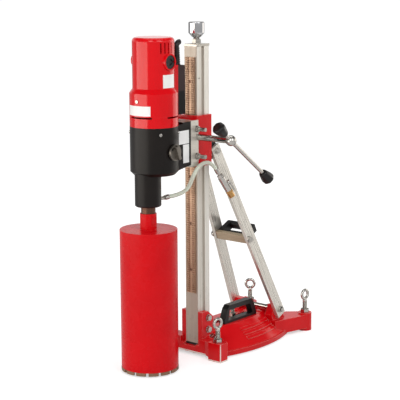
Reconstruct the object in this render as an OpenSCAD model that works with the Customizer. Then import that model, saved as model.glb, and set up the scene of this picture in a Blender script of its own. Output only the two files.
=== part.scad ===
// Core drill rig: a stand with a geared column and a carriage that carries the drill motor.
// Millimetres, +Z up. The origin lies on the floor under the column's axis, the drill is
// towards -Y and the feed handle is towards +X.

/* [Column] */
// Width of the column across its front
col_w = 50; // [46:1:56]
// Depth of the column from front to back
col_d = 60; // [54:1:70]
// Length of the extrusion
col_len = 965; // [900:5:1100]
// Thinnest wall of the extrusion, behind the side grooves
col_wall = 4; // [3:0.5:6]
// Width of the groove in each side
col_groove_w = 14; // [10:1:18]
// Depth of the groove in each side
col_groove_deep = 5; // [3:0.5:6]
// Height of the column's lower end above the floor
col_seat_z = 40; // [36:1:50]
// Radius of the stop pin's hole near the column's top
stop_r = 3; // [2:0.5:4]
// Thickness of the plug under the column
plug_t = 8; // [4:0.5:10]
// Thickness of the cap on the column
cap_t = 7; // [6:1:20]
// Overhang of the cap past the column
cap_lip = 2; // [1:0.5:4]
// Height of the cap's nut boss
cap_nut_h = 14; // [10:1:20]
// Width across flats of the cap's nut boss
cap_nut_af = 26; // [26:1:36]

/* [Rack] */
// Width of the rack
rack_w = 36; // [28:1:42]
// Tooth module
rack_module = 2.25; // [2:0.05:2.5]
// Number of teeth in the rack
rack_teeth = 108; // [90:1:112]
// Height of the rack's lowest tooth above the column's lower end
rack_lift = 164; // [150:1:190]
// Thickness of the rack under its teeth
rack_back = 3.2; // [3:0.1:5]
// Width of the smooth track between the two rows of teeth
rack_track_w = 12; // [8:1:16]
// Number of rack screws
rack_screw_n = 5; // [3:1:7]

/* [Jack] */
// Radius of the jack screw
jack_r = 10; // [8:0.5:11]
// Length of the jack screw
jack_len = 108; // [96:1:120]
// Radius of the cup
cup_r = 25; // [20:1:32]
// Height of the cup's straight wall
cup_h = 34; // [26:1:44]
// Height of the cup's tapered underside
cup_taper = 14; // [10:1:18]
// Thread showing between the cup and the nut boss
jack_gap = 6; // [4:1:12]

/* [Base] */
// Half width of the body at its widest
base_half_w = 142; // [130:1:150]
// Half width of the flat top at the same place
base_top_half_w = 58; // [52:1:64]
// Radius of the bulged sides in plan
base_side_r = 491; // [470:1:540]
// Distance of the widest place behind the column's axis
base_mid_y = 172; // [165:1:180]
// Distance of the body's back end behind the column's axis
base_rear_y = 345; // [335:1:355]
// Height of the flat top
base_top_z = 80; // [76:1:88]
// Height of the upright edge
base_edge_h = 20; // [16:1:28]
// Width of the ledge above the upright edge
base_ledge = 7; // [5:0.5:9]
// Gap between the body's rim and the floor
base_rim_z = 4; // [2:1:8]
// Wall of the casting
base_wall = 9; // [7:0.5:11]
// Height of the ribs on the sloped sides
base_rib_h = 3; // [2:0.5:4]
// Sideways place of the front feet
foot_front_x = 113; // [108:1:116]
// Place of the front feet ahead of the column's axis
foot_front_y = 36; // [34:1:42]
// Sideways place of the rear feet
foot_rear_x = 120; // [114:1:130]
// Distance of the rear feet behind the column's axis
foot_rear_y = 435; // [425:1:460]
// Width of a front foot
foot_w = 52; // [46:1:54]
// Depth of a front foot
foot_d = 36; // [32:1:40]
// Radius of a rear foot
foot_r = 24; // [21:1:26]
// Height of a foot
foot_h = 62; // [58:1:70]
// Height of the arms that carry the feet
arm_h = 58; // [52:1:58]
// Gap between the front bar and the floor
bar_z = 10; // [6:1:14]
// Height of the front bar
bar_h = 28; // [24:1:34]
// Thickness of the front bar ahead of the column's front
bar_t = 12; // [8:1:18]
// Thickness of a socket cheek
cheek_t = 18; // [14:1:20]
// Height of the socket cheeks
cheek_z = 146; // [140:1:154]
// Width of the anchor slots
slot_w = 18; // [14:1:20]
// Length of an anchor slot
slot_len = 84; // [70:1:96]
// Distance of the front slot's centre behind the column's axis
slot_y = 95; // [90:1:100]
// Distance between the centres of the two slots
slot_pitch = 120; // [114:1:126]
// Radius of the anchor stud
stud_r = 6; // [5:0.5:7]
// Length of the anchor stud above the flat top
stud_up = 36; // [28:1:40]

/* [Base handle] */
// Sideways place of the handle
handle_x = 30; // [28:1:36]
// Distance of the handle's front end behind the column's axis
handle_y = 88; // [80:1:96]
// Length of the handle
handle_len = 172; // [160:1:185]
// Height of the handle
handle_h = 60; // [56:1:70]
// Thickness of the handle
handle_t = 24; // [20:1:26]
// Height of the grip bar of the handle
handle_bar = 16; // [14:1:20]
// Thickness of the handle's foot strip
handle_strip = 9; // [6:1:12]

/* [Levelling screws] */
// Radius of a levelling screw
level_r = 8; // [7:0.5:9]
// Height of the eye's centre above the floor
eye_z = 125; // [120:1:140]
// Radius of the eye at the middle of its wire
eye_r = 15; // [14:0.5:18]
// Radius of the eye's wire
eye_wire = 5; // [3.5:0.5:5]
// Radius of the swivel pad
pad_r = 12; // [11:0.5:14]
// Thickness of the swivel pad
pad_t = 6; // [5:0.5:8]
// Width across flats of the lock nut
level_nut_af = 27; // [24:1:30]
// Height of the lock nut
level_nut_h = 12; // [9:1:15]

/* [Braces] */
// Width of a brace bar
brace_w = 40; // [34:1:42]
// Thickness of a brace bar
brace_t = 12; // [10:1:14]
// Sideways place of the lower pivot
brace_foot_x = 94; // [90:1:98]
// Distance of the lower pivot behind the column's axis
brace_foot_y = 316; // [310:1:322]
// Height of the lower pivot
brace_foot_z = 94; // [92:1:98]
// Sideways place of the upper bolt
brace_head_x = 38; // [36:1:42]
// Distance of the upper bolt behind the column's axis
brace_head_y = 47; // [47:1:56]
// Height of the upper bolt
brace_head_z = 668; // [640:1:700]
// Length of a bar past its lower pivot
brace_foot_over = 24; // [22:1:28]
// Length of a bar past its upper bolt
brace_head_over = 16; // [14:1:18]
// Place of the cross bar along the braces, from the lower pivot
cross_at = 298; // [278:1:330]
// Height of the cross bar
cross_h = 30; // [24:1:36]
// Thickness of the cross bar
cross_t = 12; // [11:1:14]
// Reach of the grip behind the cross bar
grip_reach = 65; // [58:1:70]
// Thickness of the grip
grip_t = 26; // [20:1:28]
// Radius of the pivot rod
rod_r = 7; // [6:0.5:8]

/* [Carriage] */
// Height of the carriage's lower face at rest
car_z = 628; // [600:1:640]
// Height of the carriage
car_h = 162; // [155:1:175]
// Thickness of the carriage's side walls
car_side_t = 17; // [16:1:20]
// Depth of the carriage behind the column's axis
car_rear = 20; // [16:1:21]
// Thickness of the guide pads
guide_t = 2; // [1.5:0.5:3]
// Height of a guide pad
guide_h = 34; // [28:1:40]
// Teeth of the feed pinion
pinion_teeth = 12; // [12:1:13]
// Height of the feed shaft above the carriage's lower face
feed_up = 96; // [90:1:104]
// Radius of the feed shaft
feed_r = 10; // [9:0.5:10.5]
// Distance of the hub from the column's middle
hub_x = 178; // [174:1:190]
// Radius of the hub
hub_r = 17; // [15:0.5:20]
// Radius of the feed bar
bar_r = 6.5; // [5.5:0.5:7]
// Slope of the feed bar at rest, in degrees
bar_tilt = 37; // [20:0.5:60]
// Distance of the upper knob from the hub
bar_up = 60; // [58:1:80]
// Distance of the lower knob from the hub
bar_down = 224; // [200:1:230]
// Largest radius of a knob
knob_r = 21; // [17:0.5:22]
// Length of a knob
knob_len = 46; // [40:1:48]
// Thickness of the motor plate ahead of the carriage's nose
plate_t = 22; // [18:1:26]
// Thickness of the motor plate's jaws
jaw_t = 6; // [5:0.5:8]
// Depth of the jaws along the nose
jaw_deep = 17; // [16:1:18]
// Length of a clamp bolt outside its jaw
clamp_out = 36; // [24:1:44]

/* [Gear housing] */
// Radius of the round gear housing
gear_r = 75; // [74:0.5:78]
// Wall of the gear housing
gear_wall = 5; // [4:0.5:6]
// Height of the gear housing's lower face above the carriage's lower face
gear_up = -5; // [-8:1:0]
// Height of the round gear housing
gear_h = 150; // [148:1:156]
// Half width of the block behind it
block_half_w = 52; // [50:0.5:54]
// Rise of the block's underside towards the back
block_rise = 18; // [12:1:24]
// Height of the block's top above the round housing
block_over = 6; // [4:1:10]
// Radius of the nose
nose_r = 41; // [41:0.5:44]
// Length of the nose
nose_len = 97; // [95:1:104]
// Distance from the motor's axis to the spindle's axis
spindle_off = 31; // [29:0.5:31]
// Teeth of the armature pinion
arm_teeth = 9; // [8:1:10]
// Teeth of the large intermediate gear
inter_teeth = 45; // [43:1:46]
// Teeth of the small intermediate gear
second_teeth = 13; // [12:1:13]
// Teeth of the spindle gear
final_teeth = 36; // [35:1:36]
// Module of the first gear pair
first_module = 1.25; // [1.2:0.05:1.3]
// Module of the second gear pair
second_module = 2; // [1.9:0.05:2]
// Radius of the selector knob
selector_r = 25; // [20:1:28]

/* [Motor] */
// Distance of the motor's axis ahead of the column's axis
motor_y = 205; // [203:1:210]
// Height of the red flange on the gear housing
flange_h = 33; // [30:1:40]
// Radius of the motor's upper part
motor_r = 65; // [64:0.5:67]
// Wall of the motor housing
motor_wall = 4; // [3:0.5:5]
// Height of the wide part above the flange
wide_h = 70; // [66:1:80]
// Height of the step between the wide and the narrow part
step_h = 14; // [10:1:16]
// Height of the narrow part below the end cap
narrow_h = 75; // [70:1:80]
// Height of the end cap
end_h = 79; // [78:1:86]
// Radius of the end cap's rounded edge
end_round = 12; // [6:1:16]
// Radius of a brush cap
brush_r = 21; // [18:0.5:22]
// Height of the brush caps above the end cap's lower edge
brush_up = 6; // [4:1:10]
// Half width of the switch housing
switch_half_w = 22; // [20:1:26]
// Depth of the switch housing
switch_d = 38; // [34:1:40]
// Height of the switch housing
switch_h = 153; // [146:1:156]
// Radius of the cord boot at its foot
boot_r = 12; // [10:0.5:13]
// Number of ribs on the cord boot
boot_ribs = 8; // [6:1:10]

/* [Core bit] */
// Outer radius of the barrel
bit_r = 90; // [50:1:92]
// Wall of the barrel
bit_wall = 4; // [3:0.5:5]
// Length of the bit below its hub
bit_len = 450; // [300:1:452]
// Thickness of the barrel's top
bit_top_t = 12; // [8:1:16]
// Height of a diamond segment
seg_h = 10; // [7:1:12]
// Number of diamond segments
seg_n = 14; // [9:1:16]
// Radius of the hub
hub_bit_r = 26; // [25:0.5:30]
// Height of the hub
hub_bit_h = 50; // [46:1:60]
// Radius of the spindle's thread
thread_r = 15.9; // [12:0.1:16]
// Radius of the spindle's collar
collar_r = 22.5; // [21.5:0.5:23.5]
// Height of the spindle's collar
collar_h = 22; // [18:1:28]

/* [Water line] */
// Radius of the hose
hose_r = 6.5; // [5:0.5:7]
// Radius of the valve's body
valve_r = 11; // [10:0.5:12]
// Length of the valve's body
valve_len = 48; // [44:1:56]
// Radius of the inlet's thread
inlet_r = 10.4; // [9:0.1:10.8]
// Length of the inlet
inlet_len = 24; // [20:1:30]

/* [Hidden] */
$fn = 64;
// Clearance between flat or round pieces that move on each other
run = 0.05;
// Clearance between pieces that are only set into each other
fit = 0.1;
// Clearance between bodies that pass each other
gap = 0.4;
// Overrun of a cutting shape past the face that it cuts
eps = 1;
// Radius of the small screws and of their heads
m6_r = 3;
m6_head_r = 5;
m6_head_h = 4;
// Radius, head and washer of the bolts
m10_r = 5;
m10_af = 17;
m10_head_h = 7;
m10_washer_r = 11;
m10_washer_h = 2;

// Column
col_x = col_w / 2;
col_y = col_d / 2;
col_top = col_seat_z + col_len;
cavity_x = col_x - col_groove_deep - col_wall;
cavity_y = col_y - col_wall - 1;
cap_plug_h = 20;
cap_top = col_top + cap_t + cap_nut_h;
cup_z = cap_top + jack_gap;
clamp_bolts = [[0, cheek_z - 22], [0, cheek_z - 61], [col_y / 2, col_seat_z + 14]];

// Rack and pinion
rack_pitch = PI * rack_module;
rack_root_y = -col_y - rack_back;
rack_add = 0.85 * rack_module;
rack_ded = 1.2 * rack_module;
rack_line_y = rack_root_y - rack_ded;
rack_tip_y = rack_line_y - rack_add;
rack_bottom = col_seat_z + rack_lift;
pinion_pr = pinion_teeth * rack_module / 2;
feed_y = rack_line_y - pinion_pr;
feed_z = car_z + feed_up;
// A gap of the rack stands level with the feed shaft
rack_first = feed_z - rack_pitch * floor((feed_z - rack_bottom) / rack_pitch);
rack_len = rack_teeth * rack_pitch;

// Base
seat_z = col_seat_z - plug_t;
cheek_x = col_x + cheek_t;
cheek_back = col_y + 6;
bar_y = -col_y - bar_t;
bar_half = 65;
arm_back = 20;
slope_run = base_half_w - base_top_half_w;
side_cx = base_side_r - base_half_w;
lug_x = 58;
wall_under = base_top_z - base_wall;
stud_y = slot_y + slot_pitch - slot_len / 2 + slot_w / 2 + 2;
washer_t = 3;
handle_screw_in = 12;

// Braces
brace_dy = brace_foot_y - brace_head_y;
brace_dz = brace_head_z - brace_foot_z;
brace_dx = brace_foot_x - brace_head_x;
brace_m = norm([brace_dy, brace_dz]);
brace_lean = atan2(brace_dy, brace_dz);
brace_splay = atan2(brace_dx, brace_m);
brace_len = norm([brace_dx, brace_m]);
cross_y = -brace_w / 2 + cross_t / 2 + 2;
cross_z = cross_at * cos(brace_splay);
cross_half = brace_foot_x - cross_at * sin(brace_splay) - brace_t / 2;
head_y1 = brace_head_y + 16;
head_up = 32;
grip_screw_in = 38;
grip_strip = m6_head_h + 5;
grip_y = cross_y + cross_t / 2;
grip_z = cross_z + cross_h / 2 - grip_t / 2;

// Carriage
channel_x = col_x + guide_t + run;
car_x = channel_x + car_side_t;
channel_y = rack_tip_y - 1.5;
pinion_tip = pinion_pr + rack_add;
nose_y = feed_y - pinion_tip - 4.5;
shoulder_y = nose_y + jaw_deep;
plate_x = car_x + jaw_t;
plate_y = nose_y - plate_t;
plate_z = car_z + 5;
plate_h = car_h - 16;
plate_bolts_z = [feed_z + 27, feed_z - 59];
plate_bolt_y = nose_y + 9;

// Gear housing and motor
motor_c = -motor_y;
spin_y = motor_c - spindle_off;
gear_z = car_z + gear_up;
gear_top = gear_z + gear_h;
gear_in = gear_r - gear_wall;
floor_z = gear_z + 7;
nose_z = gear_z - nose_len;
block_top = gear_top + block_over;
flange_top = gear_top + flange_h;
wide_top = flange_top + wide_h;
narrow_z = wide_top + step_h;
end_z = narrow_z + narrow_h;
end_top = end_z + end_h;
brush_z = end_z + brush_up;
brush_x = motor_r + 5;
motor_in = motor_r - motor_wall;
wide_in = gear_r - gear_wall;
spigot_h = 10;
flange_deep = 28;
first_d = (arm_teeth + inter_teeth) * first_module / 2;
second_d = (second_teeth + final_teeth) * second_module / 2;
// The intermediate shaft stands at both gear distances
inter_dy = (second_d * second_d - first_d * first_d - spindle_off * spindle_off) / (2 * spindle_off);
inter_x = -sqrt(first_d * first_d - inter_dy * inter_dy);
inter_y = motor_c + inter_dy;
first_dir = atan2(inter_dy, inter_x);
second_dir = atan2(inter_y - spin_y, inter_x);
shaft_r = 8;
second_z = floor_z + 10;
second_h = 24;
first_z = floor_z + 70;
first_h = 14;
spindle_r = 20;
gear_seat_r = 17;
race_r = 35;
race_h = 18;
chamber_h = 26;
small_race_r = 14;
small_race_h = 8;
arm_r = 8.5;
arm_race_r = 17;
arm_race_h = 12;
core_r = 30;
core_z = flange_top + 8;
core_h = 72;
stator_r = 54;
stator_in = core_r + 1.5;
com_r = 20;
top_r = 7;
top_z = brush_z + 34;
select_y = motor_c + 5;
select_z = gear_z + 73;
select_x = gear_r + 2;
switch_y = motor_c + gear_r + 10;
switch_z = block_top + 20;
rocker_z = switch_z + switch_h - 40;
rocker_y = switch_y + switch_d / 2;
rocker_half = 15;
boot_y = switch_y + switch_d / 2 + 4;
boot_z = switch_z + switch_h;
boot_h = 56;
boot_bend = 14;
screw_z = gear_top - flange_deep + 8;
label_t = 0.6;
label_edge = 10;
front_label_h = 30;
motor_label_h = 40;
block_label = [48, 42];
lower_label = [28, 58];
label_top = block_top - 26;
lower_label_z = label_top - block_label[1] - lower_label[1] - 2;

// Core bit
hub_top = nose_z - collar_h;
bit_top = hub_top - hub_bit_h;
bit_low = bit_top - bit_len;
bit_in = bit_r - bit_wall;

// Water line: the route of the hose from the nose's fitting to the valve
water_z = nose_z + 15;
water_y = spin_y + nose_r;
nipple_len = 45;
hose_start = [0, water_y + nipple_len, water_z];
valve_at = [67.5, 20, 607.5];
valve_dir = -150;
valve_yaw = -37;
valve_axis = [sin(valve_dir) * sin(valve_yaw), -sin(valve_dir) * cos(valve_yaw), cos(valve_dir)];
hose_mid = [[1.5, -136.5, 541.5], [6.5, -124, 542.5], [13.5, -113, 545.5], [22.5, -104, 550.5],
  [31.5, -97, 557.5], [39.5, -92.5, 567.5], [46, -90, 579], [51, -88.5, 591.5], [55, -85, 604],
  [58, -79, 615.5], [59.5, -70.5, 626], [60.5, -59.5, 634], [60.5, -47, 639], [60, -33.5, 641],
  [60, -20.5, 640], [60.5, -7.5, 635.5], [61.5, 4, 628.5], [64, 13, 619]];
hose_pts = concat([hose_start], hose_mid, [valve_at]);
hose_sides = 10;
hex_len = 12;

// A cylinder along +X from x, on the axis at y and z
module rod_x(x, y, z, r, len) {
  translate([x, y, z])
    rotate([0, 90, 0])
      cylinder(r = r, h = len);
}

// A cylinder along +Y from y, on the axis at x and z
module rod_y(x, y, z, r, len) {
  translate([x, y, z])
    rotate([-90, 0, 0])
      cylinder(r = r, h = len);
}

// A cylinder along +Z from z, on the axis at x and y
module rod_z(x, y, z, r, len) {
  translate([x, y, z])
    cylinder(r = r, h = len);
}

// A hexagonal bar along +Z
module hex(af, len) {
  cylinder(r = af / 2 / cos(30), h = len, $fn = 6);
}

// A ring along +Z
module ring(r, r_in, len) {
  difference() {
    cylinder(r = r, h = len);
    translate([0, 0, -eps])
      cylinder(r = r_in, h = len + 2 * eps);
  }
}

// A profile in Y and Z, drawn out along +X from x
module along_x(x, len) {
  translate([x, 0, 0])
    rotate([90, 0, 90])
      linear_extrude(len)
        children();
}

// The same on both sides of the middle plane
module both() {
  children();
  mirror([1, 0, 0])
    children();
}

// Outline of a spur gear with a tooth on its own +X axis
function gear_points(n, m) = [
  for (i = [0 : n - 1])
    for (p = [[-1.2, -1.1], [0, -0.72], [0.85, -0.38], [0.85, 0.38], [0, 0.72], [-1.2, 1.1]])
      let (r = n * m / 2 + p[0] * m, a = 360 * i / n + p[1] * 90 / n)
        [r * cos(a), r * sin(a)]
];

module spur(n, m, len) {
  linear_extrude(len)
    polygon(gear_points(n, m));
}

// Base

// One bulged side of the body, drawn in by a margin
module side_turn(margin, z0, z1) {
  translate([-side_cx, base_mid_y, 0])
    rotate_extrude()
      polygon([
        [0, z0],
        [base_side_r - base_ledge - margin, z0],
        [base_side_r - base_ledge - margin, base_edge_h],
        [base_side_r - slope_run - margin, z1],
        [0, z1]
      ]);
}

module body_form(margin, z0, z1) {
  y0 = -col_y + 2 + margin;
  intersection() {
    side_turn(margin, z0, z1);
    mirror([1, 0, 0])
      side_turn(margin, z0, z1);
    translate([-base_half_w, y0, z0])
      cube([2 * base_half_w, base_rear_y - margin - y0, z1 - z0]);
  }
}

// The upright edge round the body
module rim_form() {
  h = base_edge_h - base_rim_z;
  y0 = -col_y + 2;
  intersection() {
    rod_z(side_cx, base_mid_y, base_rim_z, base_side_r, h);
    rod_z(-side_cx, base_mid_y, base_rim_z, base_side_r, h);
    translate([-base_half_w, y0, base_rim_z])
      cube([2 * base_half_w, base_rear_y - y0, h]);
  }
}

// Raised ribs that run along a sloped side
module side_ribs() {
  tilt = atan2(base_top_z - base_edge_h, slope_run - base_ledge);
  for (u = [24, 43, 62])
    translate([-side_cx, base_mid_y, 0])
      rotate([0, 0, -6])
        rotate_extrude(angle = 21)
          translate([base_side_r - base_ledge, base_edge_h])
            rotate(180 - tilt)
              translate([u, -base_rib_h])
                square([11, base_rib_h + 2]);
}

module front_arm_plan() {
  polygon([
    [0, bar_y],
    [bar_half, bar_y],
    [foot_front_x - 13, -foot_front_y - foot_d / 2],
    [foot_front_x + 19, -foot_front_y + 13],
    [foot_front_x - 7, arm_back],
    [0, arm_back]
  ]);
}

module rear_arm_plan() {
  polygon([
    [lug_x - 2, base_rear_y - 60],
    [foot_rear_x - 14, base_rear_y - 60],
    [foot_rear_x + 21, foot_rear_y - 10],
    [foot_rear_x - 19, foot_rear_y + 13],
    [lug_x - 2, foot_rear_y - 25]
  ]);
}

// The lug beside a brace's foot, cut off along the brace's inner face, and a web between the lugs
module lug() {
  top = brace_foot_z + 14;
  difference() {
    along_x(lug_x, brace_foot_x - lug_x)
      polygon([
        [brace_foot_y - 28, base_edge_h],
        [brace_foot_y - 28, base_top_z - 4],
        [brace_foot_y - 10, top],
        [brace_foot_y + 12, top],
        [base_rear_y, arm_h + 10],
        [base_rear_y + 10, arm_h],
        [base_rear_y + 10, base_edge_h]
      ]);
    at_brace()
      brace_side(fit);
  }
  translate([0, brace_foot_y + 22, 0])
    rotate([90, 0, 0])
      linear_extrude(10)
        polygon([
          [0, wall_under + 2],
          [lug_x + 6, arm_h - 14],
          [lug_x + 6, top],
          [0, base_top_z + 6]
        ]);
}

module cheek() {
  along_x(col_x + fit, cheek_t - fit)
    polygon([
      [-col_y, bar_z],
      [-col_y, cheek_z],
      [0, cheek_z],
      [col_y - 6, cheek_z - 20],
      [cheek_back, base_top_z],
      [cheek_back, bar_z]
    ]);
}

module feet() {
  both() {
    translate([foot_front_x - foot_w / 2, -foot_front_y - foot_d / 2, 0])
      cube([foot_w, foot_d, foot_h]);
    rod_z(foot_rear_x, foot_rear_y, 0, foot_r, foot_h);
  }
}

module foot_bores() {
  both()
    for (p = [[foot_front_x, -foot_front_y], [foot_rear_x, foot_rear_y]]) {
      rod_z(p[0], p[1], -eps, level_r + run, foot_h + 2 * eps);
      rod_z(p[0], p[1], -eps, pad_r + gap, pad_t + 1 + gap + eps);
    }
}

module anchor_slots() {
  for (y = [slot_y, slot_y + slot_pitch]) {
    r = slot_w / 2;
    h = base_wall + 2 * eps;
    z = wall_under - eps;
    rod_z(0, y - slot_len / 2 + r, z, r, h);
    rod_z(0, y + slot_len / 2 - r, z, r, h);
    translate([-r, y - slot_len / 2 + r, z])
      cube([slot_w, slot_len - slot_w, h]);
  }
}

module base_casting() {
  color([0.78, 0.05, 0.08])
    difference() {
      union() {
        difference() {
          union() {
            body_form(0, base_rim_z, base_top_z);
            rim_form();
            both()
              side_ribs();
          }
          body_form(base_wall, base_rim_z - eps, wall_under);
        }
        feet();
        both() {
          translate([0, 0, bar_z])
            linear_extrude(bar_h)
              front_arm_plan();
          intersection() {
            translate([0, 0, bar_z])
              linear_extrude(arm_h - bar_z)
                front_arm_plan();
            translate([cheek_x - 4, -base_half_w, 0])
              cube([base_half_w, 2 * base_half_w, base_top_z]);
          }
          translate([0, 0, bar_z])
            linear_extrude(arm_h - bar_z)
              rear_arm_plan();
          lug();
          cheek();
        }
        translate([-cheek_x, -col_y, bar_z])
          cube([2 * cheek_x, cheek_back + col_y, seat_z - bar_z]);
        rod_z(0, 0, 0, col_x - 4, seat_z);
      }
      translate([-col_x - fit, -2 * col_d, seat_z])
        cube([col_w + 2 * fit, 2 * col_d + col_y + fit, cheek_z]);
      foot_bores();
      anchor_slots();
      both()
        for (b = clamp_bolts) {
          rod_x(col_x - eps, b[0], b[1], m10_r + 0.3, cheek_t + 2 * eps);
          rod_x(cheek_x, b[0], b[1], m10_washer_r + 3, base_half_w);
        }
      rod_x(-brace_foot_x, brace_foot_y, brace_foot_z, rod_r + fit, 2 * brace_foot_x);
      for (y = [handle_y + handle_screw_in, handle_y + handle_len - handle_screw_in])
        rod_z(handle_x, y, wall_under - eps, m6_r + fit, base_wall + 2 * eps);
    }
}

module base_handle() {
  h0 = base_top_z;
  h1 = base_top_z + handle_h;
  y0 = handle_y;
  y1 = handle_y + handle_len;
  lean = 24;
  color([0.05, 0.05, 0.05])
    difference() {
      along_x(handle_x - handle_t / 2, handle_t)
        polygon([
          [y0, h0],
          [y1, h0],
          [y1, h0 + handle_strip],
          [y1 - lean + 8, h1 - 12],
          [y1 - lean - 4, h1],
          [y0 + lean + 4, h1],
          [y0 + lean - 8, h1 - 12],
          [y0, h0 + handle_strip]
        ]);
      along_x(handle_x - handle_t, 2 * handle_t)
        polygon([
          [y0 + 20, h0 + handle_strip],
          [y1 - 20, h0 + handle_strip],
          [y1 - 34, h1 - handle_bar],
          [y0 + 28, h1 - handle_bar]
        ]);
      for (y = [y0 + handle_screw_in, y1 - handle_screw_in])
        rod_z(handle_x, y, h0 - eps, m6_r, 20 + eps);
    }
}

module stand_screws() {
  color([0.6, 0.6, 0.62]) {
    for (y = [handle_y + handle_screw_in, handle_y + handle_len - handle_screw_in]) {
      rod_z(handle_x, y, wall_under - m6_head_h, m6_head_r, m6_head_h);
      rod_z(handle_x, y, wall_under, m6_r - 0.02, base_wall + 20);
    }
    for (i = [0 : rack_screw_n - 1]) {
      z = rack_screw_z(i);
      rod_y(0, rack_root_y + 1, z, m6_head_r, rack_back - 2);
      rod_y(0, -col_y - 1, z, m6_r - 0.02, col_wall + 4);
    }
    at_cross()
      both() {
        rod_y(cross_half - grip_screw_in, grip_y + 5, grip_z, m6_head_r, m6_head_h);
        rod_y(cross_half - grip_screw_in, cross_y - 2, grip_z, m6_r - 0.02, cross_t / 2 + 8);
      }
  }
}

module anchor_stud() {
  color([0.7, 0.7, 0.72])
    union() {
      rod_z(0, stud_y, wall_under - 30, stud_r, stud_up + base_wall + 28);
      translate([0, stud_y, base_top_z + stud_up - 2])
        cylinder(r1 = stud_r, r2 = stud_r - 2, h = 2);
    }
}

module anchor_nut() {
  color([0.7, 0.7, 0.72])
    translate([0, stud_y, base_top_z]) {
      ring(slot_w / 2 + 4, stud_r + 0.02, washer_t);
      translate([0, 0, washer_t])
        difference() {
          hex(19, 10);
          translate([0, 0, -eps])
            cylinder(r = stud_r + 0.02, h = 10 + 2 * eps);
        }
    }
}

// Column

function rack_screw_z(i) = rack_first + rack_len * (i + 0.5) / rack_screw_n;

module column() {
  color([0.75, 0.75, 0.74])
    difference() {
      translate([0, 0, col_seat_z])
        linear_extrude(col_len)
          difference() {
            square([col_w, col_d], center = true);
            square([2 * cavity_x, 2 * cavity_y], center = true);
            for (s = [-1, 1])
              translate([s * col_x, 0])
                square([2 * col_groove_deep, col_groove_w], center = true);
          }
      both()
        for (b = clamp_bolts)
          rod_x(cavity_x - eps, b[0], b[1], m10_r, col_x);
      for (i = [0 : rack_screw_n - 1])
        rod_y(0, -col_y - eps, rack_screw_z(i), m6_r, col_wall + 3 * eps);
      for (z = [brace_head_z - 14, brace_head_z + 12])
        rod_y(0, cavity_y - eps, z, m6_r, col_wall + 4 * eps);
      rod_x(cavity_x - eps, -col_y + 12, col_top - 100, stop_r, col_x);
    }
}

module column_foot_plug() {
  color([0.05, 0.05, 0.05])
    union() {
      translate([-col_x, -col_y, seat_z])
        cube([col_w, col_d, plug_t]);
      translate([-cavity_x + fit, -cavity_y + fit, col_seat_z])
        cube([2 * cavity_x - 2 * fit, 2 * cavity_y - 2 * fit, 8]);
    }
}

module column_cap() {
  color([0.72, 0.72, 0.72])
    difference() {
      union() {
        translate([-col_x - cap_lip, -col_y - cap_lip, col_top])
          cube([col_w + 2 * cap_lip, col_d + 2 * cap_lip, cap_t]);
        translate([-cavity_x + fit, -cavity_y + fit, col_top - cap_plug_h])
          cube([2 * cavity_x - 2 * fit, 2 * cavity_y - 2 * fit, cap_plug_h]);
        translate([0, 0, col_top + cap_t])
          hex(cap_nut_af, cap_nut_h);
      }
      rod_z(0, 0, col_top - cap_plug_h - eps, jack_r + run, cap_plug_h + cap_t + cap_nut_h + 2 * eps);
    }
}

function rack_tooth(i) =
  let (z = rack_first + rack_pitch * (i + 0.5), w = rack_pitch / 4 * 0.85, t = tan(20))
    [
      [rack_root_y, z - w - rack_ded * t],
      [rack_tip_y, z - w + rack_add * t],
      [rack_tip_y, z + w - rack_add * t],
      [rack_root_y, z + w + rack_ded * t]
    ];

module rack() {
  color([0.6, 0.58, 0.55])
    difference() {
      along_x(-rack_w / 2, rack_w)
        polygon(concat(
          [[-col_y, rack_first]],
          [[rack_root_y, rack_first]],
          [for (i = [0 : rack_teeth - 1]) each rack_tooth(i)],
          [[rack_root_y, rack_first + rack_len]],
          [[-col_y, rack_first + rack_len]]
        ));
      translate([-rack_track_w / 2, rack_tip_y - eps, rack_first - eps])
        cube([rack_track_w, rack_root_y - rack_tip_y + eps + 0.6, rack_len + 2 * eps]);
      for (i = [0 : rack_screw_n - 1]) {
        rod_y(0, rack_tip_y - eps, rack_screw_z(i), m6_head_r + run, rack_root_y - rack_tip_y + rack_back);
        rod_y(0, rack_root_y, rack_screw_z(i), m6_r, rack_back + eps);
      }
    }
}

// Hexagon bolt with a washer along +X, its washer on the plane x = 0
module bolt_x(len, r) {
  rotate([0, 90, 0]) {
    cylinder(r = m10_washer_r, h = m10_washer_h);
    translate([0, 0, m10_washer_h])
      hex(m10_af, m10_head_h);
    translate([0, 0, -len])
      cylinder(r = r, h = len);
  }
}

module column_clamp_bolts() {
  color([0.75, 0.75, 0.76])
    both()
      for (b = clamp_bolts)
        translate([cheek_x, b[0], b[1]])
          bolt_x(cheek_x - cavity_x, m10_r - 0.02);
}

// Braces

// The frame of the right brace: its own +Z runs up the bar from the lower pivot
module at_brace() {
  translate([brace_foot_x, brace_foot_y, brace_foot_z])
    rotate([brace_lean, 0, 0])
      rotate([0, -brace_splay, 0])
        children();
}

// The frame between the braces, with its +X square to the middle plane
module at_cross() {
  translate([0, brace_foot_y, brace_foot_z])
    rotate([brace_lean, 0, 0])
      children();
}

// Everything outside the brace's inner face
module brace_side(margin) {
  translate([-brace_t / 2 - margin, -3 * brace_w, -3 * brace_w])
    cube([brace_foot_x, 6 * brace_w, brace_len + 6 * brace_w]);
}

module brace_bar() {
  at_brace()
    difference() {
      translate([-brace_t / 2, -brace_w / 2, -brace_foot_over])
        cube([brace_t, brace_w, brace_len + brace_foot_over + brace_head_over]);
      rod_x(-brace_t, 0, 0, rod_r + 1, 2 * brace_t);
      rod_x(-brace_t, 0, brace_len, m10_r + fit, 2 * brace_t);
      rod_x(-brace_t, cross_y, cross_at, m10_r + fit, 2 * brace_t);
    }
}

module right_brace() {
  color([0.74, 0.74, 0.72])
    brace_bar();
}

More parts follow.
